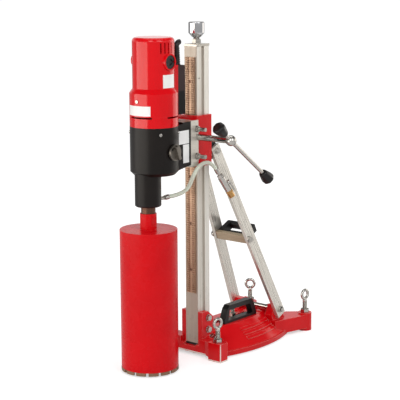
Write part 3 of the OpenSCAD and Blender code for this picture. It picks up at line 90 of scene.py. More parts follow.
class NodeBoard:
    """A node tree, with short calls for the nodes that the finishes and the studio share."""

    def __init__(self, tree: bpy.types.NodeTree) -> None:
        """Empty a tree to fill it anew.

        Args:
            tree: The tree of a material or of the world.
        """
        self.tree = tree
        self.tree.nodes.clear()

    def add(self, kind: str) -> bpy.types.Node:
        """Add a node.

        Args:
            kind: Its type.

        Returns:
            The new node.
        """
        return self.tree.nodes.new(kind)

    def link(self, source: bpy.types.NodeSocket, target: bpy.types.NodeSocket) -> None:
        """Join two sockets.

        Args:
            source: Socket that gives the value.
            target: Socket that takes it.
        """
        self.tree.links.new(source, target)

    def feed(self, target: bpy.types.NodeSocket, value: object) -> None:
        """Give a socket its value.

        Args:
            target: Socket to fill.
            value: A number, a colour, or a socket to join.
        """
        if isinstance(value, bpy.types.NodeSocket):
            self.link(value, target)
        else:
            target.default_value = (*value, 1.0) if isinstance(value, tuple) else value

    def band(self, source: bpy.types.NodeSocket, low: float, high: float,
             to_low: float = 0.0, to_high: float = 1.0) -> bpy.types.NodeSocket:
        """Map one range of values onto another, clamped.

        Args:
            source: Socket to read.
            low: Value that becomes to_low.
            high: Value that becomes to_high.
            to_low: New value at the low end.
            to_high: New value at the high end.

        Returns:
            The socket with the new value.
        """
        node = self.add("ShaderNodeMapRange")
        for key, value in (("From Min", low), ("From Max", high), ("To Min", to_low), ("To Max", to_high)):
            node.inputs[key].default_value = value
        self.link(source, node.inputs["Value"])
        return node.outputs["Result"]

    def maths(self, kind: str, first: bpy.types.NodeSocket, second: object) -> bpy.types.NodeSocket:
        """Join two values by one operation of the Math node.

        Args:
            kind: The operation.
            first: Socket with the first value.
            second: A number, or a socket with one.

        Returns:
            The socket with the result.
        """
        node = self.add("ShaderNodeMath")
        node.operation = kind
        self.feed(node.inputs[0], first)
        self.feed(node.inputs[1], second)
        return node.outputs["Value"]


class NodeSheet(NodeBoard):
    """One material's node tree, with its shader and object coordinates."""

    def __init__(self, name: str) -> None:
        """Start a material.

        Args:
            name: Name of the material.
        """
        self.material = bpy.data.materials.new(name)
        self.material.use_nodes = True
        super().__init__(self.material.node_tree)
        self.shader = self.add("ShaderNodeBsdfPrincipled")
        output = self.add("ShaderNodeOutputMaterial")
        self.link(self.shader.outputs["BSDF"], output.inputs["Surface"])
        self.place = self.add("ShaderNodeTexCoord").outputs["Object"]

    def set(self, **values: object) -> None:
        """Fill the shader's own sockets.

        Args:
            values: Value of each socket, with underscores for the spaces in its name.
        """
        for key, value in values.items():
            self.feed(self.shader.inputs[key.replace("_", " ")], value)

    def noise(self, scale: float, detail: float, stretch: Triple = (1.0, 1.0, 1.0),
              tilt: float = 0.0) -> bpy.types.NodeSocket:
        """Add a noise texture on the object's own coordinates.

        Args:
            scale: Cells per metre.
            detail: Octaves of finer noise.
            stretch: Factor on each axis; a small one draws the grain out along it.
            tilt: Turn of the grain about the X axis in degrees.

        Returns:
            The socket with the noise from 0 to 1.
        """
        mapping = self.add("ShaderNodeMapping")
        mapping.inputs["Scale"].default_value = stretch
        turn = self.add("ShaderNodeVectorRotate")
        turn.rotation_type = "X_AXIS"
        turn.inputs["Angle"].default_value = math.radians(tilt)
        self.link(self.place, turn.inputs["Vector"])
        self.link(turn.outputs["Vector"], mapping.inputs["Vector"])
        texture = self.add("ShaderNodeTexNoise")
        texture.inputs["Scale"].default_value = scale
        texture.inputs["Detail"].default_value = detail
        self.link(mapping.outputs["Vector"], texture.inputs["Vector"])
        return texture.outputs["Fac"]

    def blend(self, factor: bpy.types.NodeSocket, first: object, second: object) -> bpy.types.NodeSocket:
        """Mix two colours by a factor.

        Args:
            factor: Socket from 0, the first colour, to 1, the second.
            first: A colour, or a socket with one.
            second: A colour, or a socket with one.

        Returns:
            The socket with the mixed colour.
        """
        node = self.add("ShaderNodeMix")
        node.data_type = "RGBA"
        for key, value in (("Factor", factor), (6, first), (7, second)):
            self.feed(node.inputs[key], value)
        return node.outputs[2]

    def axis(self, name: str) -> bpy.types.NodeSocket:
        """Give one coordinate of the point in metres.

        Args:
            name: X, Y or Z.

        Returns:
            The socket with the coordinate.
        """
        node = self.add("ShaderNodeSeparateXYZ")
        self.link(self.place, node.inputs["Vector"])
        return node.outputs[name]

    def edges(self, radius: float) -> bpy.types.NodeSocket:
        """Find the edges of the solid.

        Args:
            radius: How far from an edge it is felt, in metres.

        Returns:
            The socket with 0 on flat faces, rising towards 1 on edges.
        """
        bevel = self.add("ShaderNodeBevel")
        bevel.samples = EDGE_SAMPLES
        bevel.inputs["Radius"].default_value = radius
        plain = self.add("ShaderNodeNewGeometry")
        dot = self.add("ShaderNodeVectorMath")
        dot.operation = "DOT_PRODUCT"
        self.link(bevel.outputs["Normal"], dot.inputs[0])
        self.link(plain.outputs["Normal"], dot.inputs[1])
        return self.band(dot.outputs["Value"], *EDGE_SPREAD)

    def bump(self, height: bpy.types.NodeSocket, strength: float, depth: float) -> None:
        """Roughen the shader's normal by a height.

        Args:
            height: Socket with the height from 0 to 1.
            strength: Share of the full effect.
            depth: Height of 1 in metres.
        """
        node = self.add("ShaderNodeBump")
        node.inputs["Strength"].default_value = strength
        node.inputs["Distance"].default_value = depth
        self.link(height, node.inputs["Height"])
        self.link(node.outputs["Normal"], self.shader.inputs["Normal"])


@dataclass(frozen=True)
class Finish:
    """A finish with its two tones."""

    name: str
    colour: Colour
    shade: Colour

    def tint(self, sheet: NodeSheet, tone: bpy.types.NodeSocket) -> bpy.types.NodeSocket:
        """Give the colour of single places on the piece.

        Args:
            sheet: The material's node sheet.
            tone: Socket with the colour of the rest.

        Returns:
            The socket with the whole colour.
        """
        return tone


@dataclass(frozen=True)
class Paint(Finish):
    """Gloss or satin paint on a casting or shell, paler along its edges: partly paint worn thin, partly painted
    highlight.
    """

    # edge is the paler colour of the edges, partly worn paint and partly painted highlight
    edge: Colour
    roughness: float = 0.2
    gloss: float = 0.36
    peel: float = 260.0
    peel_depth: float = 0.00002
    edge_radius: float = 0.0012
    edge_wear_and_highlight: float = 0.6
    spots: tuple[float, float] = (0.42, 0.7)
    dust: float = 0.0
    dust_height: float = 0.09
    dust_colour: Colour = srgb(196, 120, 112)

    def make(self) -> bpy.types.Material:
        """Build the paint's material.

        Returns:
            The material.
        """
        sheet = NodeSheet(self.name)
        cloud = sheet.noise(9.0, detail=3.0)
        peel = sheet.noise(self.peel, detail=2.0)
        tone = sheet.blend(sheet.band(cloud, *NOISE_CLOUD), self.shade, self.colour)
        # Paler edges from a bevel mask: partly wear, partly a painted highlight along the edges.
        spots = sheet.band(sheet.noise(60.0, detail=5.0), *self.spots)
        worn_and_highlit = sheet.maths("MULTIPLY", sheet.edges(self.edge_radius), spots)
        tone = sheet.blend(sheet.maths("MULTIPLY", worn_and_highlit, self.edge_wear_and_highlight), tone, self.edge)
        if self.dust:
            low = sheet.maths("MULTIPLY", sheet.band(sheet.axis("Z"), self.dust_height, 0.0), self.dust)
            dusty = sheet.maths("MULTIPLY", low, sheet.band(cloud, *NOISE_SPREAD))
            tone = sheet.blend(dusty, tone, self.dust_colour)
        sheet.set(Base_Color=self.tint(sheet, tone))
        smears = sheet.noise(34.0, detail=5.0)
        rough = sheet.band(smears, *NOISE_SPREAD, self.roughness - 0.03, self.roughness + 0.05)
        sheet.set(Roughness=rough, Specular_IOR_Level=self.gloss)
        sheet.bump(peel, strength=0.35, depth=self.peel_depth)
        return sheet.material


@dataclass(frozen=True)
class BasePaint(Paint):
    """Paint of the base, with a pale line along the lower edge of its front, partly bare machined edge and partly
    painted highlight, and painted highlights down the corners of its front feet.
    """

    # bare is the pale colour of the front's lower edge, partly bare metal and partly painted highlight, and of the
    # painted highlight on the foot corners
    bare: Colour = srgb(236, 226, 218)
    bar_low: float = 0.0155
    foot_low: float = 0.0055
    bar_half: float = 0.066
    behind: float = -0.012
    corner: tuple[float, float] = (0.1362, -0.0512)
    line_drop: float = 0.012
    line_fade: float = 0.004
    corner_fade: float = 0.0006

    def tint(self, sheet: NodeSheet, tone: bpy.types.NodeSocket) -> bpy.types.NodeSocket:
        """Add the pale line, bare edge and painted highlight, and the painted highlights on the foot corners.

        Args:
            sheet: The material's node sheet.
            tone: Socket with the colour of the rest.

        Returns:
            The socket with the whole colour.
        """
        side = sheet.maths("ABSOLUTE", sheet.axis("X"), 0.0)
        low = sheet.band(side, self.bar_half, self.bar_half + self.line_drop, self.bar_low, self.foot_low)
        under = sheet.maths("LESS_THAN", sheet.axis("Z"), low)
        line = sheet.maths("MULTIPLY", under, sheet.band(sheet.axis("Y"), self.behind, self.behind - self.line_fade))
        # Foot corners: a painted highlight down the front outer edge of each front foot.
        x, y = self.corner
        outer = sheet.band(side, x, x + self.corner_fade)
        foot = sheet.maths("MULTIPLY", outer, sheet.band(sheet.axis("Y"), y, y - self.corner_fade))
        bare = sheet.maths("MAXIMUM", line, foot)
        worn_and_highlit = sheet.maths("MULTIPLY", bare, sheet.band(sheet.noise(40.0, detail=4.0), 0.22, 0.42))
        return sheet.blend(worn_and_highlit, tone, self.bare)


@dataclass(frozen=True)
class Moulding(Finish):
    """Plastic, rubber or matt cast metal with a fine grain."""

    roughness: float = 0.5
    gloss: float = 0.36
    grain: float = 900.0
    depth: float = 0.00008
    rub: float = 0.25
    rub_colour: Colour = srgb(70, 66, 64)

    def make(self) -> bpy.types.Material:
        """Build the moulding's material with its grain and rubbed edges.

        Returns:
            The material.
        """
        sheet = NodeSheet(self.name)
        tone = sheet.blend(sheet.band(sheet.noise(14.0, detail=4.0), *NOISE_CLOUD), self.shade, self.colour)
        tone = self.tint(sheet, tone)
        rubbed = sheet.maths("MULTIPLY", sheet.edges(0.0012), sheet.band(sheet.noise(48.0, detail=5.0), 0.42, 0.66))
        sheet.set(Base_Color=sheet.blend(sheet.maths("MULTIPLY", rubbed, self.rub), tone, self.rub_colour))
        grain = sheet.noise(self.grain, detail=3.0)
        rough = sheet.band(grain, *NOISE_SPREAD, self.roughness - 0.07, self.roughness + 0.09)
        sheet.set(Roughness=rough, Specular_IOR_Level=self.gloss)
        sheet.bump(grain, strength=0.5, depth=self.depth)
        return sheet.material


@dataclass(frozen=True)
class Metal(Finish):
    """Bare, plated or drawn metal with a grain along one axis."""

    roughness: float = 0.3
    spread: float = 0.08
    grain: float = 700.0
    stretch: Triple = (1.0, 1.0, 1.0)
    tilt: float = 0.0
    depth: float = 0.00004
    metallic: float = 1.0
    stain: float = 0.0
    stain_colour: Colour = srgb(110, 84, 66)
    rim: Colour = (1.0, 1.0, 1.0)

    def make(self) -> bpy.types.Material:
        """Build the metal's material.

        Returns:
            The material.
        """
        sheet = NodeSheet(self.name)
        lines = sheet.noise(self.grain, detail=4.0, stretch=self.stretch, tilt=self.tilt)
        cloud = sheet.noise(22.0, detail=4.0)
        tone = sheet.blend(sheet.band(lines, *NOISE_SPREAD), self.shade, self.colour)
        if self.stain:
            mark = sheet.maths("MULTIPLY", sheet.band(cloud, 0.5, 0.75), self.stain)
            tone = sheet.blend(mark, tone, self.stain_colour)
        sheet.set(Base_Color=self.tint(sheet, tone))
        rough = sheet.maths("ADD", sheet.band(lines, *NOISE_SPREAD, -self.spread, self.spread),
                            sheet.band(cloud, *NOISE_SPREAD, self.roughness - 0.04, self.roughness + 0.06))
        sheet.set(Roughness=rough, Metallic=self.metallic, Specular_Tint=self.rim)
        sheet.bump(lines, strength=0.4, depth=self.depth)
        return sheet.material


@dataclass(frozen=True)
class ColumnSkin(Metal):
    """Drawn metal of the column, streaked along it, with painted shade and a warm painted reflection on its front,
    and painted shade in its side grooves.
    """

    # Colour of the painted shade on the front and in the grooves.
    painted_front_and_groove_shade: Colour = srgb(154, 140, 124)
    streak: Colour = srgb(190, 181, 168)
    front_y: tuple[float, float] = (-0.028, -0.0295)
    groove_half: tuple[float, float] = (0.0085, 0.0066)
    groove_floor: tuple[float, float] = (0.0246, 0.0225)
    streak_share: float = 0.7
    front_shade_share: float = 0.75
    groove_shade_share: float = 0.4

    def tint(self, sheet: NodeSheet, tone: bpy.types.NodeSocket) -> bpy.types.NodeSocket:
        """Add the streaks, the painted shade and reflection on the front, and the painted shade in the grooves.

        Args:
            sheet: The material's node sheet.
            tone: Socket with the colour of the rest.

        Returns:
            The socket with the whole colour.
        """
        streaks = sheet.band(sheet.noise(110.0, detail=3.0, stretch=(1.0, 1.0, 0.006)), 0.42, 0.7)
        tone = sheet.blend(sheet.maths("MULTIPLY", streaks, self.streak_share), tone, self.streak)
        # Painted shade: the front face stands for the shade and red reflection from the motor and bit before it, and
        # the grooves for shade in a recess.
        front = sheet.band(sheet.axis("Y"), *self.front_y)
        middle = sheet.band(sheet.maths("ABSOLUTE", sheet.axis("Y"), 0.0), *self.groove_half)
        deep = sheet.band(sheet.maths("ABSOLUTE", sheet.axis("X"), 0.0), *self.groove_floor)
        front = sheet.maths("MULTIPLY", front, self.front_shade_share)
        painted_groove_shade = sheet.maths("MULTIPLY", sheet.maths("MULTIPLY", middle, deep), self.groove_shade_share)
        return sheet.blend(sheet.maths("MAXIMUM", front, painted_groove_shade), tone, self.painted_front_and_groove_shade)


@dataclass(frozen=True)
class GearCase(Moulding):
    """Matt black cast gear case, machined bare on top of its block."""

    bare: Colour = srgb(150, 104, 82)
    bare_shade: Colour = srgb(112, 74, 58)
    top: float = 0.7785
    fade: float = 0.0004

    def tint(self, sheet: NodeSheet, tone: bpy.types.NodeSocket) -> bpy.types.NodeSocket:
        """Add the bare top.

        Args:
            sheet: The material's node sheet.
            tone: Socket with the colour of the rest.

        Returns:
            The socket with the whole colour.
        """
        cut = sheet.blend(sheet.noise(420.0, detail=3.0, stretch=(1.0, 0.04, 1.0)), self.bare, self.bare_shade)
        return sheet.blend(sheet.band(sheet.axis("Z"), self.top, self.top + self.fade), tone, cut)


@dataclass(frozen=True)
class SwitchCase(Moulding):
    """Black switch housing with a grey upper half."""

    upper: Colour = srgb(58, 42, 43)
    upper_shade: Colour = srgb(48, 35, 36)
    split: float = 0.872
    fade: float = 0.0006

    def tint(self, sheet: NodeSheet, tone: bpy.types.NodeSocket) -> bpy.types.NodeSocket:
        """Add the grey half.

        Args:
            sheet: The material's node sheet.
            tone: Socket with the colour of the rest.

        Returns:
            The socket with the whole colour.
        """
        grey = sheet.blend(sheet.noise(30.0, detail=3.0), self.upper, self.upper_shade)
        return sheet.blend(sheet.band(sheet.axis("Z"), self.split, self.split + self.fade), tone, grey)


@dataclass(frozen=True)
class HoseSkin(Finish):
    """Clear plastic of the water hose, faintly green and milky."""

    clear: float = 0.35
    index: float = 1.38
    coat: float = 0.3
    coat_roughness: float = 0.1

    def make(self) -> bpy.types.Material:
        """Build the hose's material.

        Returns:
            The material.
        """
        sheet = NodeSheet(self.name)
        cloud = sheet.noise(120.0, detail=3.0)
        sheet.set(Base_Color=sheet.blend(cloud, self.shade, self.colour))
        sheet.set(Roughness=sheet.band(sheet.noise(300.0, detail=3.0), *NOISE_SPREAD, 0.16, 0.28))
        sheet.set(Transmission_Weight=self.clear, IOR=self.index, Coat_Weight=self.coat,
                  Coat_Roughness=self.coat_roughness)
        sheet.bump(sheet.noise(500.0, detail=2.0), strength=0.2, depth=0.00004)
        return sheet.material


class Finishes:
    """All finishes of the rig, each made once."""

    def __init__(self) -> None:
        """Make every material."""
        # The fourth colour of each paint is its paler edge: partly worn paint, partly painted highlight.
        self.casting = Paint("red_gloss_casting", srgb(212, 4, 16), srgb(200, 3, 13), srgb(224, 84, 78),
                             roughness=0.18, gloss=0.26).make()
        # The base's pale edges are strong here: a painted highlight along nearly every edge, partly wear.
        self.base = BasePaint("red_gloss_base", srgb(212, 4, 16), srgb(200, 3, 13), srgb(236, 158, 148),
                              roughness=0.14, gloss=0.26, edge_radius=0.0018, edge_wear_and_highlight=0.9, spots=(0.3, 0.52),
                              dust=0.05).make()
        self.shell = Paint("red_gloss_shell", srgb(214, 3, 16), srgb(207, 2, 13), srgb(224, 70, 66),
                           roughness=0.12, peel=420.0, peel_depth=0.00001).make()
        self.barrel = Paint("red_barrel_paint", srgb(206, 6, 17), srgb(198, 4, 15), srgb(196, 104, 84),
                            roughness=0.26, gloss=0.16, peel=340.0, peel_depth=0.000006).make()
        self.case = GearCase("black_gear_case", srgb(21, 15, 12), srgb(14, 10, 8), roughness=0.34,
                             gloss=0.22).make()
        self.switch_case = SwitchCase("switch_housing_plastic", srgb(9, 7, 8), srgb(6, 5, 6), roughness=0.48,
                                      gloss=0.14).make()
        self.plastic = Moulding("black_plastic_grain", srgb(14, 12, 12), srgb(9, 8, 8), roughness=0.36).make()
        self.rubber = Moulding("black_rubber_grain", srgb(13, 12, 12), srgb(9, 9, 9), roughness=0.42,
                               gloss=0.4, grain=1400.0).make()
        self.column = ColumnSkin("drawn_column_metal", srgb(232, 229, 222), srgb(210, 206, 197), roughness=0.34,
                                 stretch=(1.0, 1.0, 0.012), grain=900.0, metallic=0.5).make()
        self.cap = Metal("cap_plate_metal", srgb(196, 192, 184), srgb(160, 155, 146), roughness=0.26,
                         stretch=(1.0, 0.05, 1.0), metallic=0.95).make()
        self.bar = Metal("brushed_bar_metal", srgb(232, 228, 219), srgb(198, 193, 184), roughness=0.28,
                         stretch=(0.01, 1.0, 0.01), tilt=-25.1, grain=900.0, metallic=0.7).make()
        # Painted shade: the cross bar is the brace metal made darker and warmer, standing for the shade on its face.
        self.cross = Metal("brushed_cross_bar_painted_shade", srgb(196, 178, 152), srgb(162, 144, 118), roughness=0.36,
                           stretch=(0.02, 1.0, 1.0), grain=1100.0, metallic=0.6).make()
        self.plate = Metal("milled_plate_metal", srgb(220, 215, 206), srgb(192, 187, 179), roughness=0.36,
                           stretch=(1.0, 0.05, 1.0), metallic=0.8).make()
        # Painted reflection and shade: the rack's tan tones stand for the red parts reflected in it and the shade
        # that the motor and bit cast on it.
        self.rack = Metal("rack_steel_painted_reflection_and_shade", srgb(204, 172, 146), srgb(156, 122, 98), roughness=0.36,
                          stain=0.45, grain=500.0, metallic=0.65).make()
        self.zinc = Metal("zinc_plated_steel", srgb(206, 203, 198), srgb(176, 172, 166), roughness=0.2,
                          grain=420.0, rim=(0.3, 0.29, 0.28)).make()
        self.knob_metal = Metal("turned_knob_metal", srgb(142, 136, 128), srgb(108, 102, 95), roughness=0.34,
                                grain=420.0).make()
        self.dark = Metal("dark_machined_steel", srgb(112, 82, 68), srgb(78, 56, 48), roughness=0.36,
                          stretch=(1.0, 1.0, 6.0), grain=160.0).make()
        self.chrome = Metal("polished_chrome", srgb(222, 222, 224), srgb(210, 210, 212), roughness=0.07,
                            spread=0.02, depth=0.00001, rim=(0.16, 0.15, 0.14)).make()
        self.brass = Metal("machined_brass", srgb(200, 160, 104), srgb(168, 126, 76), roughness=0.26,
                           grain=500.0).make()
        self.segment = Metal("sintered_segment", srgb(164, 132, 104), srgb(104, 80, 64), roughness=0.6,
                             grain=700.0, depth=0.0003, metallic=0.5).make()
        self.copper = Metal("varnished_copper", srgb(176, 104, 62), srgb(128, 70, 40), roughness=0.35,
                            stretch=(1.0, 1.0, 8.0), grain=300.0).make()
        self.iron = Metal("stacked_laminations", srgb(128, 124, 120), srgb(92, 88, 86), roughness=0.45,
                          stretch=(0.05, 0.05, 1.0), grain=1400.0).make()
        self.nylon = Moulding("white_nylon", srgb(230, 226, 206), srgb(214, 209, 190), roughness=0.5,
                              rub_colour=srgb(190, 184, 168)).make()
        self.label = Moulding("blank_label_film", srgb(240, 240, 238), srgb(230, 230, 229), roughness=0.34,
                              depth=0.00002, rub_colour=srgb(200, 200, 198)).make()
        self.carbon = Moulding("brush_carbon", srgb(44, 44, 46), srgb(32, 32, 34), roughness=0.55).make()
        self.hose = HoseSkin("clear_hose_wall", srgb(240, 244, 232), srgb(218, 226, 206)).make()


def cad(node: str) -> bpy.types.Object:
    """Give a CAD node's object.

    Args:
        node: Name of the node.

    Returns:
        Its object.
    """
    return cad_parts[node]


def dress(node: str, finish: bpy.types.Material, edge: float = 0.0, segments: int = 2) -> None:
    """Give a CAD node its finish, and soften its edges by modifiers.

    Args:
        node: Name of the CAD node.
        finish: Material that replaces its plain one.
        edge: Width of the softened edges in millimetres, or 0 for sharp ones.
        segments: Steps across a softened edge.
    """
    item = cad(node)
    if not item.material_slots:
        item.data.materials.append(finish)
    for place in item.material_slots:
        place.material = finish
    if edge:
        weld = item.modifiers.new("join", "WELD")
        weld.merge_threshold = JOIN_GAP
        flat = item.modifiers.new("flatten", "DECIMATE")
        flat.decimate_type = "DISSOLVE"
        flat.angle_limit = FLAT_ANGLE
        soft = item.modifiers.new("soften", "BEVEL")
        soft.width = edge * MM
        soft.segments = segments
        soft.limit_method = "ANGLE"
        soft.angle_limit = SOFT_ANGLE
        soft.use_clamp_overlap = True
        soft.harden_normals = False
        even = item.modifiers.new("even", "WEIGHTED_NORMAL")
        even.keep_sharp = True
    LOG.info("dressed %s with %s", node, finish.name)


class MeshSheet:
    """Points and faces of one piece, gathered shape by shape."""

    def __init__(self) -> None:
        """Start with nothing."""
        self.points: list[Vector] = []
        self.faces: list[tuple[int, ...]] = []

    def rings(self, rows: Sequence[Sequence[Vector]], closed: bool = False) -> None:
        """Skin a list of rings with equal counts of points.

        Args:
            rows: The rings in order.
            closed: Whether the last ring joins the first; if not, both ends get a cap.
        """
        start = len(self.points)
        count = len(rows[0])
        for row in rows:
            self.points.extend(row)
        last = len(rows) if closed else len(rows) - 1
        for i in range(last):
            low, high = start + i * count, start + (i + 1) % len(rows) * count
            for j in range(count):
                k = (j + 1) % count
                self.faces.append((low + j, low + k, high + k, high + j))
        if not closed:
            self.faces.append(tuple(start + j for j in reversed(range(count))))
            end = start + (len(rows) - 1) * count
            self.faces.append(tuple(end + j for j in range(count)))

    def lathe(self, profile: Sequence[tuple[float, float]], place: Matrix, count: int,
              lobes: int = 0, lobe_depth: float = 0.0, closed: bool = False) -> None:
        """Turn a profile about an axis, with flutes if asked.

        Args:
            profile: Radius and height of each step in millimetres.
            place: Matrix from the axis frame in metres to the shared frame.
            count: Points around.
            lobes: Number of flutes.
            lobe_depth: Depth of a flute as a share of the radius, at the widest step.
            closed: Whether the profile closes on itself, as a ring's does.
        """
        widest = max(radius for radius, _ in profile)
        rows = []
        for radius, height in profile:
            row = []
            for j in range(count):
                angle = math.tau * j / count
                dent = lobe_depth * (radius / widest) ** 4 * (0.5 - 0.5 * math.cos(lobes * angle)) if lobes else 0.0
                r = radius * (1.0 - dent)
                row.append(place @ Vector((r * math.cos(angle) * MM, r * math.sin(angle) * MM, height * MM)))
            rows.append(row)
        self.rings(rows, closed)

    def thread(self, radius: float, pitch: float, low: float, high: float, place: Matrix) -> None:
        """Cut a screw thread on a rod.

        Args:
            radius: Radius over the thread in millimetres.
            pitch: Rise of one turn in millimetres.
            low: Height of the lower end in millimetres.
            high: Height of the upper end in millimetres.
            place: Matrix from the rod's frame in metres to the shared frame.
        """
        depth = THREAD_DEPTH * pitch
        total = max(2, round((high - low) / pitch * THREAD_STEPS))
        rows = []
        for i in range(total + 1):
            height = low + (high - low) * i / total
            end = max(0.0, 1.0 - min(height - low, high - height) / (THREAD_RUNOUT * pitch))
            row = []
            for j in range(ROD_POINTS):
                turn = (height / pitch - j / ROD_POINTS) % 1.0
                cut = min(1.0, max(0.0, THREAD_SLOPE * abs(turn - 0.5) - THREAD_CREST))
                r = radius - depth * max(cut, end)
                angle = math.tau * j / ROD_POINTS
                row.append(place @ Vector((r * math.cos(angle) * MM, r * math.sin(angle) * MM, height * MM)))
            rows.append(row)
        self.rings(rows)

    def torus(self, major: float, minor: float, place: Matrix) -> None:
        """Bend a round wire into a ring.

        Args:
            major: Radius of the wire's centre line in millimetres.
            minor: Radius of the wire in millimetres.
            place: Matrix from the ring's frame in metres, its axis along Z, to the shared frame.
        """
        rows = []
        for i in range(RING_POINTS):
            a = math.tau * i / RING_POINTS
            row = []
            for j in range(WIRE_POINTS):
                b = math.tau * j / WIRE_POINTS
                r = major + minor * math.cos(b)
                row.append(place @ Vector((r * math.cos(a) * MM, r * math.sin(a) * MM, -minor * math.sin(b) * MM)))
            rows.append(row)
        self.rings(rows, closed=True)

    def piece(self, name: str, finish: bpy.types.Material, body: str,
              replaced: Sequence[str] = ()) -> bpy.types.Object:
        """Make an object of the gathered shapes, and hang it on a body.

        Args:
            name: Name of the piece.
            finish: Its material.
            body: Body that it moves with.
            replaced: CAD nodes that it stands for.

        Returns:
            The new object.
        """
        mesh = bpy.data.meshes.new(name)
        mesh.from_pydata([tuple(point) for point in self.points], [], self.faces)
        mesh.validate()
        mesh.polygons.foreach_set("use_smooth", [True] * len(mesh.polygons))
        mesh.set_sharp_from_angle(angle=SHARP_ANGLE)
        mesh.materials.append(finish)
        item = bpy.data.objects.new(name, mesh)
        bpy.context.scene.collection.objects.link(item)
        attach(item, body)
        if replaced:
            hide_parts(*replaced)
        LOG.info("built %s: %d faces", name, len(mesh.polygons))
        return item


def frame_at(origin: Triple, along: Triple) -> Matrix:
    """Give the frame whose Z runs along a direction.

    Args:
        origin: Its origin in millimetres.
        along: Direction of its Z.

    Returns:
        The matrix from that frame to the shared one, in metres.
    """
    turn = Vector(along).normalized().to_track_quat("Z", "Y")
    return Matrix.Translation(Vector(origin) * MM) @ turn.to_matrix().to_4x4()


@dataclass(frozen=True)
class Lamp:
    """One soft lamp: its place and the size of its face in metres, its power in watts and its colour."""

    name: str
    place: Triple
    size: tuple[float, float]
    power: float
    colour: Triple = (1.0, 1.0, 1.0)


